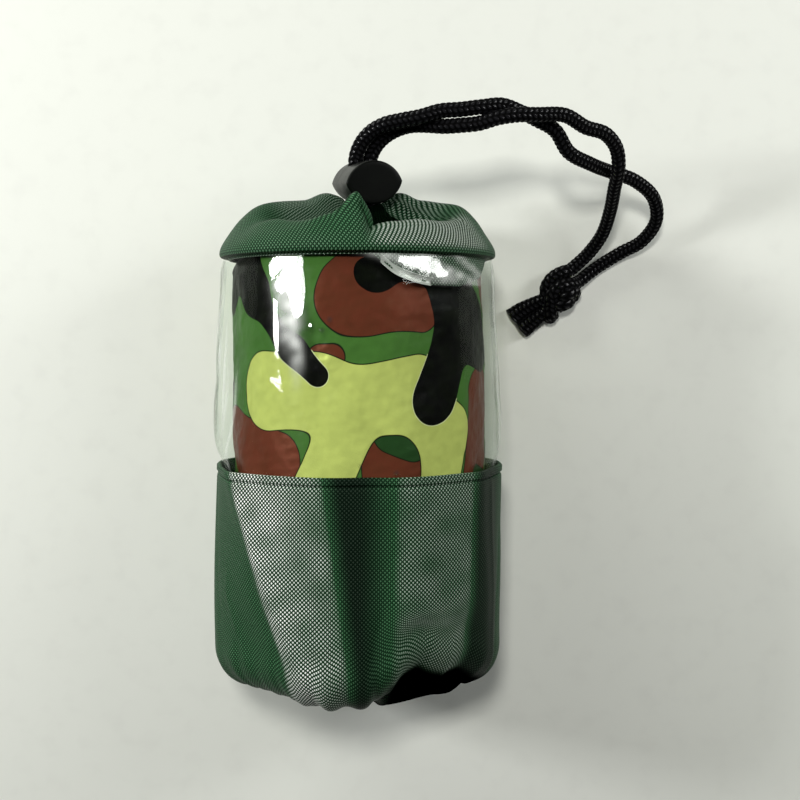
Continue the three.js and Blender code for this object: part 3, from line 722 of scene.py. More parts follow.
def window_film(material):
    """The clear window: a thin tube whose radius follows its rows, and whose columns are closer
    together at its creased sides."""
    bands = ((-12, 26, 0.4), (26, 138, 1.2), (138, 192, 0.4), (192, 347, 2.0))
    angles = np.concatenate([np.arange(*band) for band in bands])
    closing = np.append(angles, angles[0] + 360)
    y = np.concatenate([np.linspace(-12, -5.4, 8), np.linspace(-5, 43.2, 86)])
    table = np.array(WINDOW_ROWS, float)
    radius = through(table[:, 0], table[:, 1], y)[:, None] - 0.05
    floor = np.interp(y, table[:, 0], table[:, 2])[:, None]
    turns, along = angles[None], y[:, None]
    relief = film_relief(turns, along)
    outer, inner = (
        body_point(turns, radius - inset, along, floor + inset, 0.0, relief) for inset in (0.0, FILM)
    )
    grid = np.concatenate([outer, inner[::-1]])
    v = np.concatenate([y, y[::-1] - 80, [y[0]]])
    outside = np.repeat([1.0, 0.0], len(y))[:, None] * np.ones(len(angles))
    # Painted glare and painted crease highlights
    milky = film_painted_glare(turns, along)
    marks = {"outside": outside, "milky": np.concatenate([milky, milky[::-1]])}
    places = places_of(np.radians(closing) * SEAM_RADIUS, v)
    shell = Shell().add(grid, places, wrap_rows=True, marks=marks)
    turned_in_edge(shell)
    piece = shell.build("window_film", "pouch", "clear_film", material, ["window_tube"])


def turned_in_edge(shell):
    """The film's own cut edge inside the seam: a narrow strip that curls over the allowance."""
    share = np.linspace(0, 1, 60)[:, None]
    curl = np.linspace(-2.2, 1.2, 14)[None]
    angle = lerp(79, 57, share)
    depth = through([0, 0.25, 0.6, 1], [1.4, 3.7, 5.4, 6.3], share)
    radius = 31.9 - 0.9 * np.cos(curl) - 0.25 * np.sin(share * 9)
    y = SEAM_Y - depth - 1.0 * np.sin(curl)
    skins = [body_point(angle, radius - inset, y, 0.0) for inset in (0.0, 0.2)]
    grid = np.concatenate([skins[0], skins[1][:, ::-1]], axis=1)
    columns = np.arange(grid.shape[1] + 1) * 0.3
    # The curled edge is painted white as glare
    marks = {"outside": np.ones(grid.shape[:2]), "milky": np.full(grid.shape[:2], 0.9)}
    shell.add(grid, places_of(columns, share.ravel() * 14), poles=True, marks=marks)


def roll_radius(angle, y):
    """The wound roll: its rows' radius, less the step of the outermost turn's free edge."""
    table = np.array(ROLL_ROWS, float)
    outermost = ROLL_LAP * (((angle + 70) % 360) / 360 - 1)
    pressed = 1.1 * hill_at(angle, 50, 34) * ease(y, 30, 37)
    radius = through(table[:, 0], table[:, 1], y)
    return radius + outermost * np.interp(y, table[:, 0], table[:, 3]) - pressed


def film_roll(material):
    """The rolled sleeping bag: foot, wall, round corner and a spiral end, crumpled all over."""
    angles, closing = around(360)
    turns = angles[None]
    table = np.array(ROLL_ROWS, float)
    foot_steps = np.array([-1.9, -1.6, -1.3, -1.0, -0.75, -0.5, -0.2, 5, 12])[:, None]
    foot = cup_point(turns, ROLL_FOOT_DEPTH, foot_steps, fine=0.0)
    y = np.concatenate([np.linspace(-29, -8, 10), np.linspace(-7, ROLL_END_Y - ROLL_CORNER, 128)])[:, None]
    shift = through(table[:, 0], table[:, 2], y)
    arc = np.radians(turns) * ROLL_RADIUS
    seen = ease(y, -14, -6)
    relief = 0.10 * ripples(arc, y, 10, 7) + 0.07 * crumple(arc, y, 7, 11) + 0.03 * ripples(arc, y, 2.6, 15)
    wall = body_point(turns, roll_radius(turns, y), y, ROLL_FLOOR, shift, (relief - 0.1) * seen)
    corner = np.linspace(0.08, 1, 12)[:, None] * np.pi / 2
    corner_y = ROLL_END_Y - ROLL_CORNER * (1 - np.sin(corner))
    drop = ROLL_CORNER * (1 - np.cos(corner))
    relief = 0.09 * ripples(arc, corner_y, 6, 9) - 0.1
    ring = body_point(turns, roll_radius(turns, corner_y) - drop, corner_y, ROLL_FLOOR, 0.2, relief)
    radius = np.linspace(24, 1.2, 40)[:, None]
    spiral = 0.55 * np.cos((radius / 1.6 - turns / 360) * 2 * np.pi) * ease(radius, 0, 8) - 0.55
    end = body_point(turns, radius, ROLL_END_Y - 0.4 + spiral, ROLL_FLOOR, 0.2)
    grid = np.concatenate([foot, wall, ring, end])
    v = np.concatenate([np.linspace(-80, -31, len(foot))[:, None], y, corner_y + drop, 74 - radius]).ravel()
    across = ((turns + 90) % 360 - 180) * np.pi / 180 * -ROLL_RADIUS
    along = np.broadcast_to(v[:, None], grid.shape[:2])
    marks = camouflage(np.broadcast_to(across, grid.shape[:2]), along)
    shell = Shell().add(grid, places_of(np.radians(closing) * ROLL_RADIUS, v), poles=True, marks=marks)
    piece = shell.build("film_roll", "pouch", "printed_film", material, ["sleeping_bag_roll"])


# The printed pattern. Every patch is charted on the unrolled film, as round-ended bars
# that melt together: across and along of both ends, in millimetres, and the radius. Across is 0
# on top of the roll and grows to the right, and along is the height along the bag.

LIME = (
    (-22.2, 12.8, -10, 13.0, 9.0), (-9, 12.2, 8, 12.0, 6.3), (8, 12, 15, 14, 6.2), (14, 12, 22, 4, 6.0),
    (-1, 6, -9, -10, 6.4), (22.6, 4, 20.4, -12, 5.8),
    (-78, 30, -62, 36, 7.0), (-66, 8, -82, 2, 6.5), (62, 34, 80, 22, 7.0),
    (58, 2, 74, -8, 6.0), (92, 40, 84, 46, 6.0), (-96, -2, -90, -12, 6.0),
    (-44, 51, -30, 56, 5.0), (30, 56, 44, 52, 5.0),
)
BROWN = (
    (0, 34.6, 3, 37, 8.8), (4, 31.4, 15, 30.9, 5.5), (2, 38, 6, 48, 7.0),
    (-38, 2, -21, -4, 7.4), (-8.2, 20.6, -6, 20.4, 3.2), (9, -3, 9, -12, 7.2),
    (38, 11, 35, -9, 7.4), (44, 42, 49, 35, 4.6),
    (-58, 20, -70, 18, 6.5), (-52, -6, -60, -10, 5.0), (70, 8, 84, 8, 7.0),
    (52, 16, 60, 18, 4.5), (-88, 44, -80, 46, 5.0), (94, 26, 98, 18, 5.0),
)
BLACK = (
    (-34, 44, -27, 35, 6.0), (-47, 42, -42, 36, 6.4), (-24, 33, -15, 23, 2.6), (-14.6, 22.4, -9.2, 16.6, 2.8),
    (4.1, 39.0, 4.6, 38.6, 4.4), (9, 40.8, 24, 39.4, 3.8), (27, 34, 35, 27, 8.4),
    (26, 27, 19.6, 11.6, 5.9), (35, 30, 40, 23, 6.0), (-50, 34, -56, 26, 5.4),
    (-46, 12, -52, 2, 4.6), (-74, -10, -70, -14, 5.0), (56, 44, 66, 46, 5.5),
    (50, -4, 52, -12, 5.2), (86, 32, 92, 36, 6.0), (-92, 18, -96, 26, 6.2),
    (72, -2, 80, -4, 4.6), (10, 54, 22, 56, 4.5), (-20, 56, -10, 58, 4.0),
)
DARK_GREEN = (
    (9, 4.4, 14, 2.6, 4.2), (-60, 44, -54, 46, 5.0), (36, -10, 44, -12, 4.4),
    (60, 26, 52, 28, 4.0), (-84, 12, -76, 14, 4.0),
)


def patches(across, along, bars, melt=1.6):
    """Signed distance to the edge of one colour's patches, under 0 inside. Each bar is the set of
    points within its radius of a straight line, and near bars melt by a soft minimum."""
    wander = 1.1 * np.sin(across / 9.5 + 0.6) * np.sin(along / 8 + 1.1)
    u, v = across + wander, along + 0.9 * np.sin(across / 7.5) * np.cos(along / 10)
    total = 0
    for u0, v0, u1, v1, radius in bars:
        du, dv = u1 - u0, v1 - v0
        part = np.clip(((u - u0) * du + (v - v0) * dv) / (du * du + dv * dv), 0, 1)
        away = np.hypot(u - u0 - part * du, v - v0 - part * dv) - radius
        total = total + np.exp(-np.clip(away, -20, 30) / melt)
    return -melt * np.log(total)


def camouflage(across, along):
    """The distance to each colour's patches, under the name of its mark."""
    charts = {"lime": LIME, "brown": BROWN, "black": BLACK, "dark_green": DARK_GREEN}
    return {name: patches(across, along, bars) for name, bars in charts.items()}


# The collar

def peak_rise(x):
    """The front edge's rise across the bag, on straight lines between the table's points."""
    table = np.array(PEAK, float)
    return np.interp(x, table[:, 0], table[:, 1])


def pleat_rise(angle, table):
    """The sum of soft hills round the collar, one for each gather."""
    return sum(rise * hill_at(angle, place, width) for place, width, rise in table)


def collar_middle(angle, row):
    """The middle of the collar's cloth. Each row of the table is a ring between the seam and the
    neck, and a cubic curve joins the rings; pleats, the peak and the slit move it along the bag."""
    table = np.array(COLLAR_ROWS, float)
    keys = np.arange(len(table))
    share, front, side, back, peak, pleat, floor = (through(keys, table[:, k], row) for k in range(7))
    turn = np.radians(angle)
    radius = COLLAR_RADIUS * share
    reach = np.clip((share - NECK_SHARE) / (CREASE_SHARE - NECK_SHARE), 0, 1)
    x = lerp(NECK_X, 0, reach) + radius * np.cos(turn)
    z = lerp(NECK_Z, SEAM_AXIS_HEIGHT, reach) + radius * np.sin(turn)
    upward = np.sin(turn)
    front_share = ease(upward, 0.25, 0.97)
    y = np.where(upward > 0, lerp(side, front, front_share), lerp(side, back, -upward))
    y = y + pleat * pleat_rise(angle, PLEATS)
    inner = ease(row, 5.5, 8) * ease(row, 11, 9.5)
    y = y + 0.9 * inner * pleat_rise(angle, FINE_PLEATS)
    y = y + ease(row, 8, 9.6) * ease(row, 11, 10.2) * pleat_rise(angle, NECK_GATHERS)
    y = y + 2.2 * ease(row, 9.4, 11) * hill_at(angle, 48, 40)
    y = y + np.where(upward > 0.5, peak * peak_rise(x), 0)
    y = y + 0.18 * ripples(np.radians(angle) * COLLAR_RADIUS, row * 5, 12, 41) * ease(row, 3, 5)
    return np.stack(np.broadcast_arrays(x, y, np.maximum(floor, z)), axis=-1)


def along_normal(grid, offset):
    """Moves each point of a ringed sheet along the sheet's own normal, which is the cross product
    of the ways to its next row and its next column."""
    across = np.roll(grid, -1, axis=1) - np.roll(grid, 1, axis=1)
    along = np.gradient(grid, axis=0)
    return grid - unit(np.cross(along, across)) * offset


def collar_marks(angle, row):
    """Two marks: one paints shade on what lies deep behind the collar's front edge, most of all at
    the slit, and one paints a highlight, high on the front's right side and on the far side, and low
    left of the peak."""
    facing = ease(np.sin(np.radians(angle)), 0.1, 0.6)
    # Painted shade behind the front edge, deepest at the slit
    hollow = (0.4 + 0.55 * near(angle, 66, 20, 30)) * ease(row, 5.3, 6.4) * facing
    front = ease(row, 2.2, 3.0) * ease(row, 6.2, 5.0)
    far = ease(row, 6.2, 7.2) * ease(turns_apart(angle, 90), 32, 60)
    plain = near(angle, 99, 7, 10) * ease(row, 2.9, 3.9)
    # Painted highlight on the yarns' crowns, none on the plain facet
    gleam = (0.04 + 0.5 * front * near(angle, 52, 24, 34) + 0.3 * far) * (1 - plain)
    return {"hollow": hollow, "gleam": gleam}


def collar_cloth(material):
    """The gathered collar: one sheet from the tip of its seam allowance to the neck, and back."""
    angles, closing = around(400)
    rows = np.concatenate([np.linspace(0, 2, 8), np.linspace(2.12, 11, 88)])
    middle = collar_middle(angles[None], rows[:, None])
    hang = np.array(ALLOWANCE, float)
    length = np.interp(angles, hang[:, 0], hang[:, 1])
    tips = np.linspace(1, 0.12, 12)[:, None]
    allowance = np.repeat(middle[:1], len(tips), axis=0)
    allowance[..., 1] -= tips * length
    middle = np.concatenate([allowance, middle])
    middle[..., 2] = np.maximum(middle[..., 2], 0.4)
    outer = along_normal(middle, COLLAR_CLOTH / 2)
    inner = along_normal(middle, -COLLAR_CLOTH / 2)[::-1]
    grid = np.concatenate([outer, inner])
    grid[..., 2] = np.maximum(grid[..., 2], 0)
    steps = np.linalg.norm(np.diff(middle, axis=0), axis=-1)
    seam = steps[:len(tips)].sum(0)
    v = np.concatenate([np.zeros((1, len(angles))), np.cumsum(steps, axis=0)]) - seam
    ends = np.concatenate([v, v[::-1] - 90, v[:1]])
    row_shares = np.array(COLLAR_ROWS)[:, 0]
    share = through(np.arange(len(row_shares)), row_shares, np.concatenate([np.zeros(len(tips)), rows]))
    width = COLLAR_RADIUS * (0.4 + 0.6 * share)
    widths = np.concatenate([width, width[::-1], width[:1]])
    ends = np.concatenate([ends, ends[:, :1]], axis=1)
    places = places_of(np.radians(closing)[None] * widths[:, None], ends)
    marks = {}
    for name, value in collar_marks(angles[None], rows[:, None]).items():
        hidden = np.full((len(tips), len(angles)), ALLOWANCE_MARKS[name])
        marks[name] = np.concatenate([hidden, value, value[::-1], hidden])
    shell = Shell().add(grid, places, wrap_rows=True, marks=marks)
    slit_edge(shell)
    piece = shell.build("collar_cloth", "pouch", "oxford_cloth", material, ["collar"])


def slit_edge(shell):
    """The turned edge beside the slit: a narrow ribbon that stands off the peak's right edge and
    ends in a small folded corner."""
    down = np.linspace(0, 1, 24)[:, None]
    out = np.linspace(0, 1, 9)[None]
    x = lerp(1.6, 3.5, down) + 1.5 * out * (0.55 + 0.45 * np.sin(down * np.pi))
    y = lerp(55.4, 49.0, down) - 0.8 * out
    z = lerp(62.6, 60.8, down) - 1.6 * out**2 + 0.3 * np.sin(down * np.pi)
    top = np.stack(np.broadcast_arrays(x, y, z), axis=-1)
    under = top - np.array([0.1, 0, 0.4])
    grid = np.concatenate([top, under[:, ::-1]], axis=1)
    shell.add(grid, places_of(np.arange(grid.shape[1] + 1) * 0.3, down.ravel() * 7), poles=True)


# The cord lock

def lock_axes():
    """Rows of the lock's own axes in the frame: across, up and outward."""
    outward = unit(np.array(LOCK_OUTWARD))
    across = np.array([np.cos(np.radians(LOCK_ROLL)), np.sin(np.radians(LOCK_ROLL)), 0.0])
    across = unit(across - across.dot(outward) * outward)
    return np.stack([across, np.cross(outward, across), outward])


def lens(half_width, half_height, angle):
    """Two arcs that meet at the tips: x is the cosine of the angle, and y the arc's height there."""
    radius = (half_width**2 + half_height**2) / (2 * half_height)
    x = half_width * np.cos(angle)
    y = np.sqrt(np.maximum(radius**2 - x**2, 0)) - (radius - half_height)
    return x, np.where(np.sin(angle) >= 0, y, -y)


def lens_rings(rows, columns=144):
    """A lens outline at each row's inset, carried along z."""
    angle = (np.arange(columns) + 0.5) * 2 * np.pi / columns
    rings = []
    for inset, z, scale in rows:
        x, y = lens(LOCK_HALF_WIDTH - inset, LOCK_HALF_HEIGHT - inset, angle)
        rings.append(np.stack([x * scale, y * scale, np.full(columns, z)], axis=-1))
    return np.array(rings)


def rounded(inset, z, radius, inward, steps=5):
    """Rows round an edge: a quarter circle from the face to the wall."""
    turn = np.linspace(0, np.pi / 2, steps)
    return [(inset + radius * (1 - np.sin(t)), z + inward * radius * (1 - np.cos(t)), 1) for t in turn]


def lock_piece(name, body, rows, slot_depths, material, node):
    """A closed lens-shaped solid, with the cord hole cut through it along y."""
    grid = lens_rings(rows)
    edge = np.concatenate([[0], np.cumsum(np.linalg.norm(np.diff(grid[:, 0], axis=0), axis=-1))])
    places = places_of(np.linspace(0, LOCK_GIRTH, grid.shape[1] + 1), edge)
    shell = Shell().add(grid @ lock_axes() + LOCK_FRONT, places, poles=True)
    solid = shell.build(name, body, "black_plastic", material, [node])
    cutter = slot_cutter(*slot_depths)
    cut = solid.modifiers.new("Cord hole", "BOOLEAN")
    cut.operation, cut.solver, cut.object = "DIFFERENCE", "EXACT", cutter
    bpy.context.view_layer.update()
    finished = bpy.data.meshes.new_from_object(solid.evaluated_get(bpy.context.evaluated_depsgraph_get()))
    solid.modifiers.clear()
    solid.data = finished
    bpy.data.objects.remove(cutter)


def slot_cutter(front_depth, back_depth):
    """A round-cornered bar along the lock's y that the cords' hole is cut with: a circle whose
    quarters are moved apart to the hole's width and height."""
    angle = np.linspace(0, 2 * np.pi, 41)[:-1]
    middle, half = -(front_depth + back_depth) / 2, (back_depth - front_depth) / 2
    radius = min(LOCK_HOLE_HALF_HEIGHT, half) - 0.02
    x = np.sign(np.cos(angle)) * (LOCK_HOLE_HALF_WIDTH - radius) + radius * np.cos(angle)
    z = middle + np.sign(np.sin(angle + 1e-9)) * (half - radius) + radius * np.sin(angle)
    rows = np.array([np.stack([x, np.full_like(x, y), z], axis=-1) for y in (-12.0, 12.0)])
    places = places_of(np.arange(41.0), [0.0, 1.0])
    shell = Shell().add(rows @ lock_axes() + LOCK_FRONT, places, poles=True)
    mesh = bpy.data.meshes.new("cutter")
    points = (np.concatenate(shell.points) * MM).tolist()
    starts = np.concatenate([[0], np.cumsum(np.concatenate(shell.sizes))])
    corners = np.concatenate(shell.corners).tolist()
    mesh.from_pydata(points, [], [corners[a:b] for a, b in zip(starts[:-1], starts[1:])])
    cutter = bpy.data.objects.new("cutter", mesh)
    bpy.context.scene.collection.objects.link(cutter)
    return cutter


# Cords

def smooth_route(points, step):
    """A cubic curve through the points: three rounds of straight blends between knots that are
    spaced by the root of the distance. It is sampled again about a step apart. Returns the points
    and their place along it."""
    points = np.array(points, float)
    ends = [2 * points[0] - points[1], 2 * points[-1] - points[-2]]
    p = np.vstack([ends[0], points, ends[1]])
    gaps = np.linalg.norm(np.diff(p, axis=0), axis=1) ** 0.5
    t = np.concatenate([[0], np.cumsum(gaps)])
    at = np.linspace(t[1], t[-2], 40 * len(points))
    i = np.clip(np.searchsorted(t, at, side="right") - 1, 1, len(points) - 1)
    column = at[:, None]
    t0, t1, t2, t3 = (t[i + k][:, None] for k in (-1, 0, 1, 2))
    p0, p1, p2, p3 = (p[i + k] for k in (-1, 0, 1, 2))
    a1 = lerp(p0, p1, (column - t0) / (t1 - t0))
    a2 = lerp(p1, p2, (column - t1) / (t2 - t1))
    a3 = lerp(p2, p3, (column - t2) / (t3 - t2))
    b1 = lerp(a1, a2, (column - t0) / (t2 - t0))
    b2 = lerp(a2, a3, (column - t1) / (t3 - t1))
    line = lerp(b1, b2, (column - t1) / (t2 - t1))
    along = np.concatenate([[0], np.cumsum(np.linalg.norm(np.diff(line, axis=0), axis=1))])
    places = np.linspace(0, along[-1], max(2, int(round(along[-1] / step)) + 1))
    return np.stack([np.interp(places, along, line[:, k]) for k in range(3)], axis=1), places


def braid_relief(around_share, along):
    """Relief of a braided cord from 0 to 1: columns of slanted floats, whose slant turns about
    from one column to the next so that pairs make chevrons."""
    place = around_share * BRAID_COLUMNS
    column = np.floor(place)
    across = place - column - 0.5
    slant = np.where(column % 2 == 0, 1.0, -1.0)
    beat = along / BRAID_PITCH + BRAID_SLANT * slant * across + BRAID_SHIFT * (column % 2)
    dash = np.abs((beat % 1) - 0.5) * 2
    return np.sqrt(np.clip(1 - (1.7 * across) ** 2, 0, 1)) * np.sqrt(np.clip(1 - dash**2.2, 0, 1))


def braided_tube(shell, points, diameter, reference, step=0.2, sides=64, melted=False, spread=0.0):
    """A tube along a route: rings square to its tangent, turned by a fixed reference direction,
    with braid relief. A melted end rounds over and loses the braid, and a spread one widens towards
    it across the reference."""
    line, along = smooth_route(points, step)
    tangent = unit(np.gradient(line, axis=0))
    side = unit(np.cross(tangent, np.array(reference, float)))
    over = np.cross(tangent, side)
    share = np.arange(sides) / sides
    turn = share * 2 * np.pi
    relief = braid_relief(share[None], along[:, None])
    radius = diameter / 2 - BRAID_DEPTH * (1 - relief)
    from_end = along[-1] - along
    if melted:
        solid = ease(from_end, 1.2, 0.2)[:, None]
        lumps = 0.16 * np.sin(3 * turn[None] + 2.0 * from_end[:, None]) + 0.10 * np.sin(5 * turn[None] + 1)
        radius = lerp(radius, diameter / 2 * 0.96 + lumps, solid)
        past = 1 - np.clip(from_end / 0.7, 0, 1)
        radius = radius * np.sqrt(1 - 0.94 * past**2)[:, None]
    wide = 1 + spread * ease(along, 0, along[-1])[:, None]
    grid = line[:, None] + radius[..., None] * (
        (np.cos(turn) * wide)[..., None] * side[:, None] + np.sin(turn)[None, :, None] * over[:, None]
    )
    places = places_of(np.arange(sides + 1) / sides, along)
    marks = {"melted": np.broadcast_to(ease(from_end, 1.1, 0.3)[:, None] * melted, grid.shape[:2])}
    shell.add(grid, places, poles=True, marks=marks)
    return line


def knot_route(points):
    """Turns places in the knot's own frame into places in the frame."""
    along = unit(np.array(KNOT_ALONG))
    across = np.array([-along[1], along[0]])
    rows = np.array(points, float)
    flat = KNOT_MIDDLE + rows[:, :1] * along + rows[:, 1:2] * across
    return np.concatenate([flat, rows[:, 2:]], axis=1)


# Materials

class Signal:
    """A node's output socket. Python's operators on it add Math nodes."""

    def __init__(self, paint, socket):
        self.paint, self.socket = paint, socket

    def math(self, operation, *others, first=None):
        values = [self if first is None else first, *others]
        return self.paint.node("ShaderNodeMath", {"operation": operation}, dict(enumerate(values)))

    def __add__(self, other):
        return self.math("ADD", other)

    def __sub__(self, other):
        return self.math("SUBTRACT", other)

    def __rsub__(self, other):
        return self.math("SUBTRACT", self, first=other)

    def __mul__(self, other):
        return self.math("MULTIPLY", other)

    def __truediv__(self, other):
        return self.math("DIVIDE", other)

    def __pow__(self, other):
        return self.math("POWER", other)

    def __mod__(self, other):
        return self.math("FLOORED_MODULO", other)

    __radd__, __rmul__ = __add__, __mul__

    def sine(self):
        return self.math("SINE")

    def floor(self):
        return self.math("FLOOR")

    def size(self):
        return self.math("ABSOLUTE")

    def most(self, other):
        return self.math("MAXIMUM", other)

    def least(self, other):
        return self.math("MINIMUM", other)

    def above(self, other):
        return self.math("GREATER_THAN", other)

    def ease(self, low, high):
        """0 below low, 1 above high and a smooth step in between."""
        limits = {"Value": self, "From Min": low, "From Max": high}
        return self.paint.node("ShaderNodeMapRange", {"interpolation_type": "SMOOTHSTEP"}, limits)


class Paint:
    """A material in the making."""

    def __init__(self, name):
        self.material = bpy.data.materials.new(name)
        self.material.use_nodes = True
        self.tree = self.material.node_tree
        self.tree.nodes.clear()

    def node(self, kind, settings=None, inputs=None, output=0):
        """Adds a node: its settings first, then its sockets' values or links, and returns one of
        its outputs, if it has any."""
        made = self.tree.nodes.new(kind)
        for name, value in (settings or {}).items():
            setattr(made, name, value)
        for name, value in (inputs or {}).items():
            if isinstance(value, Signal):
                self.tree.links.new(value.socket, made.inputs[name])
            else:
                made.inputs[name].default_value = value
        return Signal(self, made.outputs[output]) if made.outputs else None

    def mix(self, factor, first, second):
        colours = {0: factor, 6: whole(first), 7: whole(second)}
        return self.node("ShaderNodeMix", {"data_type": "RGBA"}, colours, output=2)

    def place(self, kind):
        return self.node("ShaderNodeTexCoord", output=kind)

    def split(self, vector):
        return [self.node("ShaderNodeSeparateXYZ", None, {0: vector}, output=k) for k in (0, 1)]

    def mark(self, name):
        return self.node("ShaderNodeAttribute", {"attribute_name": name}, output="Fac")

    def noise(self, vector, scale, detail):
        inputs = {"Vector": vector, "Scale": scale, "Detail": detail, "Roughness": 0.5}
        return self.node("ShaderNodeTexNoise", None, inputs)

    def bump(self, height, distance, strength):
        inputs = {"Height": height, "Distance": distance, "Strength": strength}
        return self.node("ShaderNodeBump", None, inputs)

    def principled(self, **inputs):
        named = {name.replace("_", " "): value for name, value in inputs.items()}
        return self.node("ShaderNodeBsdfPrincipled", None, named)

    def either(self, factor, first, second):
        return self.node("ShaderNodeMixShader", None, {0: factor, 1: first, 2: second})

    def finish(self, surface):
        self.node("ShaderNodeOutputMaterial", None, {"Surface": surface})
        return self.material


def whole(colour):
    """A colour with its alpha, or the link that it is."""
    return colour if isinstance(colour, Signal) else (*colour[:3], 1.0)


OXFORD = "Green oxford cloth"


def oxford_paint(cloth):
    """Plain weave of flat shiny yarns. Along each yarn its height is a wave that goes over one
    crossing and under the next, and across it a rounded crown; the higher yarn shows, and the gaps
    between yarns are painted darker as shade. The lengthwise yarns' crowns get a painted highlight by
    one mark, which paints shade on the cloth where it is under 0, and what lies in the other mark is
    painted black as shade and takes no light."""
    paint = Paint(OXFORD)
    u, v = paint.split(paint.place("UV"))
    a, b = u / cloth.yarn_pitch, v / cloth.yarn_pitch
    warp_crown = 1 - ((a % 1) * 2 - 1) ** 2
    weft_crown = 1 - ((b % 1) * 2 - 1) ** 2
    warp_side = 1 - (a.floor() % 2) * 2
    weft_side = 1 - (b.floor() % 2) * 2
    warp = warp_crown * 0.55 + (b * np.pi).sine() * warp_side * 0.4
    weft = weft_crown * 0.55 - (a * np.pi).sine() * weft_side * 0.4
    height = warp.most(weft)
    crown = height.ease(0.35, 0.85)
    dot = warp.above(weft) * height.ease(0.5, 0.72)
    place = paint.place("Object")
    # Patchy wear, which also makes the painted highlight uneven
    wear_and_glint = paint.noise(place, 45, 3).ease(0.3, 0.7) * 0.35 + 0.65
    hollow, gleam = paint.mark("hollow"), paint.mark("gleam")
    # Painted highlight: crowns of the lengthwise yarns mixed towards the near-white glint colour
    shine = dot * (gleam.most(0) * 0.92 + 0.02) * (1 - hollow)
    # Painted shade where the highlight mark is under 0
    dusk = (0 - gleam).most(0).least(1) * 0.9
    yarn = paint.mix(warp.above(weft), cloth.shade, cloth.colour)
    # Painted shade in the gaps between yarns
    base = paint.mix(crown, cloth.gap, yarn)
    base = paint.mix(dusk, base, cloth.gap)
    base = paint.mix(shine * wear_and_glint, base, cloth.painted_glint)
    lit = paint.principled(
        Base_Color=base,
        Roughness=0.55 - crown * 0.05 - dot * 0.15,
        Normal=paint.bump(height, 0.00007, 1.0),
        Specular_IOR_Level=0.05,
    )
    # Painted shade: what lies under the shade mark is a black surface that takes no light
    unlit = paint.node("ShaderNodeBsdfDiffuse", None, {"Color": (0, 0, 0, 1)})
    return paint.finish(paint.either(hollow, lit, unlit))


def clear_paint(film):
    """Clear film: see-through, with a gloss that grows at glancing angles, small dimples, a faint
    haze along scuffs, and painted reflections and highlights by a mark: part of it adds to the real
    mirror, and the rest is white painted into the film."""
    paint = Paint("Clear window film")
    place = paint.place("Object")
    soft = paint.noise(place, 230, 2)
    pits = paint.node("ShaderNodeTexVoronoi", None, {"Vector": place, "Scale": 150.0})
    dimple = (1 - pits.ease(0.0, 0.16)) * paint.noise(place, 90, 1).ease(0.55, 0.6)
    normal = paint.bump(soft * 0.35 + dimple * 1.2, 0.0003, 0.3)
    scuff = paint.noise(place, 45, 4).ease(0.52, 0.75)
    glancing = {"Blend": 0.5, "Normal": normal}
    gloss = paint.node("ShaderNodeLayerWeight", None, glancing, output="Facing") ** 8 * 0.6 + 0.011
    outside, milky = paint.mark("outside"), paint.mark("milky")
    share = gloss * film.gloss + dimple * 0.5 + scuff * film.haze + film.haze + milky * 0.4
    clear = paint.node("ShaderNodeBsdfTransparent", None, {"Color": (0.97, 0.985, 0.97, 1)})
    shine = paint.principled(
        Base_Color=(0.75, 0.78, 0.74, 1), Roughness=0.04, Normal=normal, Metallic=1.0,
    )
    surface = paint.either(share.least(1) * outside, clear, shine)
    # White painted in as glare and highlight
    white = paint.principled(Base_Color=(0.86, 0.88, 0.85, 1), Roughness=0.4, Normal=normal)
    return paint.finish(paint.either((milky * 0.6).least(1), surface, white))


def camouflage_paint(inks):
    """Printed film: each colour fills where its mark is under 0, with a thin dark line round it.
    Black has a pale line instead, apart from where it lies beside lime."""
    paint = Paint("Camouflage film")
    place = paint.place("Object")
    lime, brown, black, dark_green = (paint.mark(name) for name in ("lime", "brown", "black", "dark_green"))
    mottle = paint.noise(place, 350, 3).ease(0.3, 0.75)
    cloud = paint.noise(place, 40, 2).ease(0.3, 0.75)
    colour = paint.mix(cloud * 0.3, inks.green, inks.dark_green)
    for mark, ink in ((brown, inks.brown), (dark_green, inks.dark_green), (lime, inks.lime)):
        colour = paint.mix(1 - mark.ease(0.14, 0.30), colour, (0.006, 0.010, 0.006))
        colour = paint.mix(1 - mark.ease(-0.10, 0.06), colour, ink)
    pale_line = (1 - black.ease(0.12, 0.22)) * (1 - lime.ease(0.3, 0.7))
    colour = paint.mix(pale_line, colour, (0.62, 0.66, 0.36))
    blackness = 1 - black.ease(-0.06, 0.06)
    colour = paint.mix(blackness, colour, inks.black)
    colour = paint.mix(mottle * 0.12, colour, (0.02, 0.03, 0.01))
    copper = (1 - brown.ease(-0.1, 0.1)) * (1 - blackness)
    creases = paint.noise(place, 420, 2)
    return paint.finish(paint.principled(
        Base_Color=colour,
        Metallic=copper * 0.15,
        Roughness=0.42 - mottle * 0.08,
        Normal=paint.bump(creases, 0.0002, 0.3),
        Specular_IOR_Level=0.04,
    ))


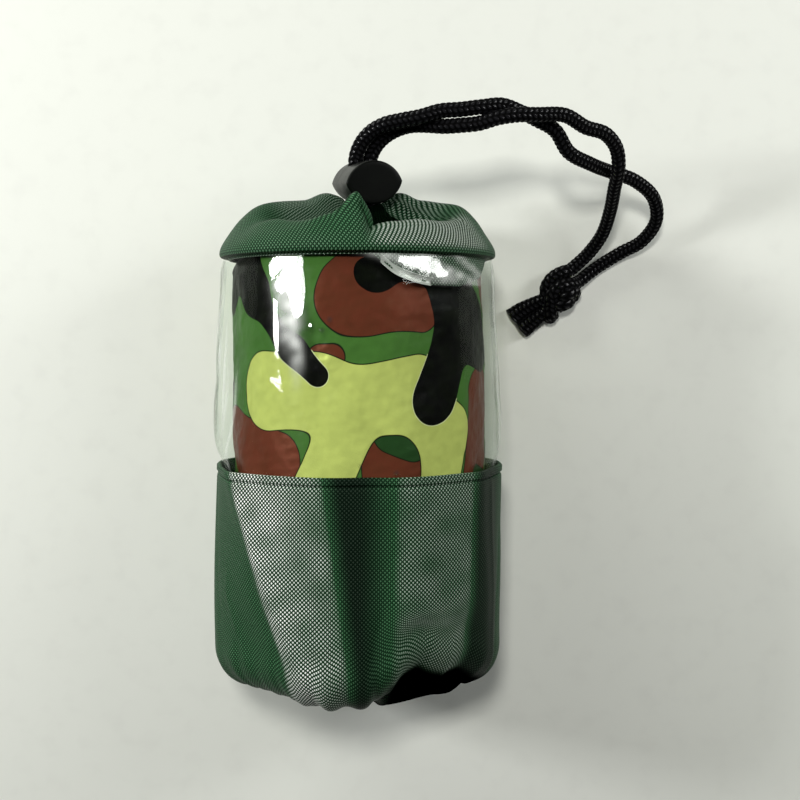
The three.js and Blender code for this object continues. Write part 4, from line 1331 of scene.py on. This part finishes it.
def cord_paint(cord):
    """Black braided yarn: fine filaments slant along each float, the crowns are worn glossy and the
    hollows between floats are painted darker as shade. The mark melted takes the braid away at a cut end."""
    paint = Paint("Black braided cord")
    u, v = paint.split(paint.place("UV"))
    columns = u * BRAID_COLUMNS
    odd = columns.floor() % 2
    slant = 1 - odd * 2
    across = (columns % 1) - 0.5
    beat = v / BRAID_PITCH + slant * across * BRAID_SLANT + odd * BRAID_SHIFT
    dash = ((beat % 1) - 0.5).size() * 2
    relief = (1 - (across * 1.7) ** 2).most(0) * (1 - dash**2).most(0)
    filaments = ((columns * 6 + slant * v * 2.2) * np.pi).sine() * 0.5 + 0.5
    melted = paint.mark("melted")
    # Painted shade: the hollows between floats darker
    colour = paint.mix(relief.ease(0.2, 0.9) * (1 - melted), (0.0005, 0.0005, 0.0005), cord.colour)
    normal = paint.bump(filaments * relief * (1 - melted), 0.00005, 0.7)
    dull = paint.principled(Base_Color=colour, Roughness=0.8, Normal=normal, Specular_IOR_Level=0.06)
    glossy = paint.principled(Base_Color=colour, Roughness=0.27, Normal=normal, Specular_IOR_Level=1.0)
    wear_and_glint = (relief.ease(0.65, 1.0) * (filaments * 0.8 + 0.2)).most(melted * 0.6)
    return paint.finish(paint.either(wear_and_glint, dull, glossy))


def plastic_paint(plastic):
    """Moulded black plastic: fine grain, faint pale clouds, and one gate mark."""
    paint = Paint("Moulded black plastic")
    place = paint.place("Object")
    grain = paint.noise(place, 2600, 3)
    cloud = paint.noise(place, 320, 2).ease(0.35, 0.7)
    ends = {0: place, 1: (plastic_gate() * MM).tolist()}
    away = paint.node("ShaderNodeVectorMath", {"operation": "DISTANCE"}, ends, output="Value")
    gate = 1 - away.ease(0.00028, 0.0004)
    colour = paint.mix(cloud * 0.3, plastic.colour, (0.007, 0.008, 0.007))
    colour = paint.mix(gate, colour, (0.0005, 0.0005, 0.0005))
    return paint.finish(paint.principled(
        Base_Color=colour,
        Roughness=0.34 - cloud * 0.06 + grain * 0.06,
        Normal=paint.bump(grain - gate * 4, 0.00005, 0.35),
        Specular_IOR_Level=0.12,
    ))


def plastic_gate():
    """The gate mark on the lock's left wall, behind its front face."""
    x, y = lens(LOCK_HALF_WIDTH, LOCK_HALF_HEIGHT, np.radians(172))
    return np.array([x, y, -4.4]) @ lock_axes() + LOCK_FRONT


def floor_paint(stage):
    """A pale table top with the faintest mottling."""
    paint = Paint("Pale table")
    place = paint.place("Object")
    cloud = paint.noise(place, 3, 3).ease(0.3, 0.7)
    specks = paint.noise(place, 160, 2).ease(0.45, 0.8)
    colour = paint.mix(cloud * 0.3, stage.floor, tuple(value * 0.94 for value in stage.floor))
    colour = paint.mix(specks * 0.08, colour, (0.45, 0.45, 0.42))
    normal = paint.bump(specks, 0.0001, 0.2)
    return paint.finish(paint.principled(Base_Color=colour, Roughness=0.55, Normal=normal))


# Settings

def colour_property(name, description, default):
    return FloatVectorProperty(
        name=name, description=description, subtype="COLOR", default=default, min=0, max=1,
    )


def power_property(name, description, default):
    return FloatProperty(
        name=name, description=description, subtype="POWER", unit="POWER", default=default, min=0,
    )


class ClothSettings(bpy.types.PropertyGroup):
    yarn_pitch: FloatProperty(
        name="Yarn pitch", description="Width of one yarn, in millimetres", default=0.47, min=0.1,
    )
    colour: colour_property("Colour", "Yarn on top", (0.042, 0.150, 0.060))
    shade: colour_property("Shade", "Crosswise yarn", (0.008, 0.040, 0.014))
    # Painted shade in the hollows between yarns
    gap: colour_property("Gap", "Hollow between yarns", (0.001, 0.004, 0.002))
    # Painted highlight colour on a yarn's crown
    painted_glint: colour_property("Glint", "Crown of a shiny yarn", (0.97, 1.0, 0.95))


class FilmSettings(bpy.types.PropertyGroup):
    gloss: FloatProperty(name="Gloss", description="Share of the mirrored light", default=1.0, min=0)
    haze: FloatProperty(name="Haze", description="Milkiness of the film", default=0.002, min=0)


class PrintSettings(bpy.types.PropertyGroup):
    green: colour_property("Green", "Ground of the print", (0.055, 0.145, 0.028))
    dark_green: colour_property("Dark green", "Darker patches", (0.018, 0.055, 0.016))
    lime: colour_property("Lime", "Pale patches", (0.44, 0.49, 0.13))
    brown: colour_property("Brown", "Brown patches", (0.12, 0.030, 0.016))
    black: colour_property("Black", "Black patches", (0.002, 0.002, 0.002))


class CordSettings(bpy.types.PropertyGroup):
    diameter: FloatProperty(name="Diameter", description="Cord, in millimetres", default=3.55, min=1)
    colour: colour_property("Colour", "Braided yarn", (0.006, 0.006, 0.007))


class PlasticSettings(bpy.types.PropertyGroup):
    colour: colour_property("Colour", "Moulded plastic", (0.002, 0.0025, 0.002))


class StageSettings(bpy.types.PropertyGroup):
    floor: colour_property("Table", "Table top", (0.74, 0.76, 0.70))
    key: power_property("Main light", "Power overhead", 1.75)
    window: power_property("Window", "Power of the window behind the neck", 2.5)
    side: power_property("Side lights", "Power that both side lights are a multiple of", 0.5)
    lens: FloatProperty(
        name="Lens", description="Camera's focal length", subtype="DISTANCE_CAMERA", default=57.15,
    )
    tilt: FloatProperty(
        name="Tilt", description="Camera's lean from straight down, in degrees", default=2.95,
    )


SETTINGS = {
    "pouch_cloth": ClothSettings,
    "pouch_film": FilmSettings,
    "pouch_print": PrintSettings,
    "pouch_cord": CordSettings,
    "pouch_plastic": PlasticSettings,
    "pouch_stage": StageSettings,
}


# The stage

CAMERA_PLACE = (10.2, 25.5, 340)
TABLE_REACH = 1.6

# Name, place, target, width and height, colour, and whether it is mirrored in glossy pieces
LIGHTS = (
    ("Overhead", (-30, 190, 600), (0, 20, 20), (75, 75), (1.0, 0.985, 0.95), False),
    ("Window", (-450, 650, 400), (0, 0, 20), (500, 250), (0.98, 1.0, 0.95), True),
    ("Left bar", (-432, 122, 318), (-16, 33, 60), (80, 70), (1, 1, 1), True),
    ("Right strip", (400, 205, 250), (17, 40, 60), (90, 480), (1, 1, 1), True),
)


def area_light(name, place, target, size, colour, mirrored, power):
    """Puts a soft light at a place, looking at a target, both in millimetres."""
    light = bpy.data.lights.new(name, "AREA")
    light.shape = "RECTANGLE"
    light.size, light.size_y = size[0] * MM, size[1] * MM
    light.energy, light.color = power, colour
    lamp = bpy.data.objects.new(name, light)
    lamp.location = Vector(place) * MM
    lamp.rotation_euler = (Vector(target) - Vector(place)).to_track_quat("-Z", "Y").to_euler()
    lamp.visible_glossy = mirrored
    bpy.context.scene.collection.objects.link(lamp)


# Operators

class POUCH_OT_stage(bpy.types.Operator):
    """Table, soft lights and the camera above it"""

    bl_idname = "pouch.stage"
    bl_label = "Stage"

    def execute(self, context):
        stage, scene = context.scene.pouch_stage, context.scene
        camera = bpy.data.objects.new("Camera", bpy.data.cameras.new("Camera"))
        camera.data.sensor_width, camera.data.lens = 36, stage.lens
        camera.data.clip_start, camera.data.clip_end = 0.01, 20
        camera.location = Vector(CAMERA_PLACE) * MM
        camera.rotation_euler = (np.radians(-stage.tilt), 0, 0)
        scene.collection.objects.link(camera)
        scene.camera = camera
        table = bpy.data.meshes.new("table")
        corners = [(x * TABLE_REACH, y * TABLE_REACH, 0) for x, y in ((-1, -1), (1, -1), (1, 1), (-1, 1))]
        table.from_pydata(corners, [], [(0, 1, 2, 3)])
        table.materials.append(floor_paint(stage))
        floor = bpy.data.objects.new("table", table)
        scene.collection.objects.link(floor)
        powers = (stage.key, stage.window, stage.side * 3.2, stage.side * 2.4)
        for light, power in zip(LIGHTS, powers):
            area_light(*light, power)
        world = bpy.data.worlds.new("World")
        world.use_nodes = True
        background = world.node_tree.nodes["Background"].inputs
        background["Color"].default_value = (0.93, 0.97, 1.0, 1)
        background["Strength"].default_value = 0.04
        scene.world = world
        scene.view_settings.view_transform = "Standard"
        return {"FINISHED"}


class POUCH_OT_cords(bpy.types.Operator):
    """Both runs of the braided drawcord, their knot and their cut tails"""

    bl_idname = "pouch.cords"
    bl_label = "Drawcord"

    def execute(self, context):
        cord = context.scene.pouch_cord
        material, wide = cord_paint(cord), cord.diameter
        knot = Shell()
        for wrap in KNOT_WRAPS:
            braided_tube(knot, knot_route(wrap), wide * KNOT_SWELL, KNOT_TURN)
        joined = [knot.build("cord_knot_braided", "pouch", "black_cord", material, ["cord_knot"])]
        for name, route, node in (("tail_a", TAIL_A, "cord_tail_a"), ("tail_b", TAIL_B, "cord_tail_b")):
            shell = Shell()
            braided_tube(shell, route, wide * TAIL_SWELL, TAIL_TURN, melted=True, step=0.12, spread=0.42)
            joined.append(shell.build(name, "pouch", "black_cord", material, [node]))
        runs = (("drawcord_a", CORD_A, "cord_a", joined), ("drawcord_b", CORD_B, "cord_b", []))
        for name, route, node, ends in runs:
            shell = Shell()
            line = braided_tube(shell, route, wide, CORD_TURN)
            piece = shell.build(name, "pouch", "black_cord", material, [node])
            leaves = route[EXIT_POINT]
            [value * MM for value in leaves]
        return {"FINISHED"}


class POUCH_OT_cup(bpy.types.Operator):
    """The cloth cup with its hem, and its round base"""

    bl_idname = "pouch.cup"
    bl_label = "Cup"

    def execute(self, context):
        material = oxford_paint(context.scene.pouch_cloth)
        cup_cloth(material)
        base_cloth(material)
        return {"FINISHED"}


class POUCH_OT_roll(bpy.types.Operator):
    """The rolled sleeping bag of printed film"""

    bl_idname = "pouch.roll"
    bl_label = "Sleeping bag roll"

    def execute(self, context):
        film_roll(camouflage_paint(context.scene.pouch_print))
        return {"FINISHED"}


class POUCH_OT_window(bpy.types.Operator):
    """The clear film window"""

    bl_idname = "pouch.window"
    bl_label = "Window"

    def execute(self, context):
        window_film(clear_paint(context.scene.pouch_film))
        return {"FINISHED"}


class POUCH_OT_collar(bpy.types.Operator):
    """The gathered cloth collar with its slit"""

    bl_idname = "pouch.collar"
    bl_label = "Collar"

    def execute(self, context):
        collar_cloth(bpy.data.materials.get(OXFORD) or oxford_paint(context.scene.pouch_cloth))
        return {"FINISHED"}


class POUCH_OT_lock(bpy.types.Operator):
    """The cord lock's body and its sprung plunger"""

    bl_idname = "pouch.lock"
    bl_label = "Cord lock"

    def execute(self, context):
        material = plastic_paint(context.scene.pouch_plastic)
        hole = LOCK_HOLE_HALF_HEIGHT
        depth = LOCK_LENGTH
        wall = LOCK_WALL
        body = [(0.5, 0, s) for s in (0.02, 0.3, 0.6, 0.85)]
        body += rounded(0, 0, 0.5, -1)
        body += [(0, z, 1) for z in np.linspace(-1, -depth + 1, 12)]
        body += rounded(0, -depth, 0.4, 1)[::-1]
        body += [(wall - 0.2, -depth, 1), (wall, -depth + 0.25, 1)]
        body += [(wall, z, 1) for z in np.linspace(-depth + 1, -wall - 0.2, 12)]
        body += [(wall, -wall, s) for s in (0.97, 0.6, 0.3, 0.02)]
        near, far = LOCK_HOLE_DEPTH - hole, LOCK_HOLE_DEPTH + hole
        lock_piece("lock_body", "pouch", body, (near, far), material, "cord_lock_body")
        inset = wall + PLUNGER_GAP
        end = -depth - PLUNGER_BUTTON
        plunger = [(inset + 0.4, -PLUNGER_TIP_DEPTH, s) for s in (0.02, 0.4, 0.8)]
        plunger += rounded(inset, -PLUNGER_TIP_DEPTH, 0.4, -1)
        plunger += [(inset, z, 1) for z in np.linspace(-PLUNGER_TIP_DEPTH - 1, end + 1, 12)]
        plunger += rounded(inset, end, 0.5, 1)[::-1]
        plunger += [(inset + 0.5, end, s) for s in (0.8, 0.4, 0.02)]
        far += PLUNGER_TRAVEL
        lock_piece("lock_plunger", "plunger", plunger, (near, far), material, "cord_lock_plunger")
        return {"FINISHED"}


class POUCH_PT_panel(bpy.types.Panel):
    """Lists the pouch's settings and pieces"""

    bl_idname = "POUCH_PT_panel"
    bl_label = "Pouch"
    bl_space_type = "VIEW_3D"
    bl_region_type = "UI"
    bl_category = "Pouch"

    def draw(self, context):
        layout = self.layout
        for name, group in SETTINGS.items():
            box = layout.box()
            for key in group.__annotations__:
                box.prop(getattr(context.scene, name), key)
        for operator in OPERATORS:
            layout.operator(operator.bl_idname)


OPERATORS = (
    POUCH_OT_stage,
    POUCH_OT_cords,
    POUCH_OT_cup,
    POUCH_OT_roll,
    POUCH_OT_window,
    POUCH_OT_collar,
    POUCH_OT_lock,
)
CLASSES = (*SETTINGS.values(), *OPERATORS, POUCH_PT_panel)


def register():
    """Registers the classes, and hangs each group of settings on the scene."""
    for made in CLASSES:
        bpy.utils.register_class(made)
    for name, group in SETTINGS.items():
        setattr(bpy.types.Scene, name, PointerProperty(type=group))


def unregister():
    """Takes the settings and the classes away again."""
    for name in SETTINGS:
        delattr(bpy.types.Scene, name)
    for made in reversed(CLASSES):
        bpy.utils.unregister_class(made)


def main():
    """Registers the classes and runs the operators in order."""
    register()
    for operator in OPERATORS:
        group, call = operator.bl_idname.split(".")
        getattr(getattr(bpy.ops, group), call)()


if __name__ == "__main__":
    main()
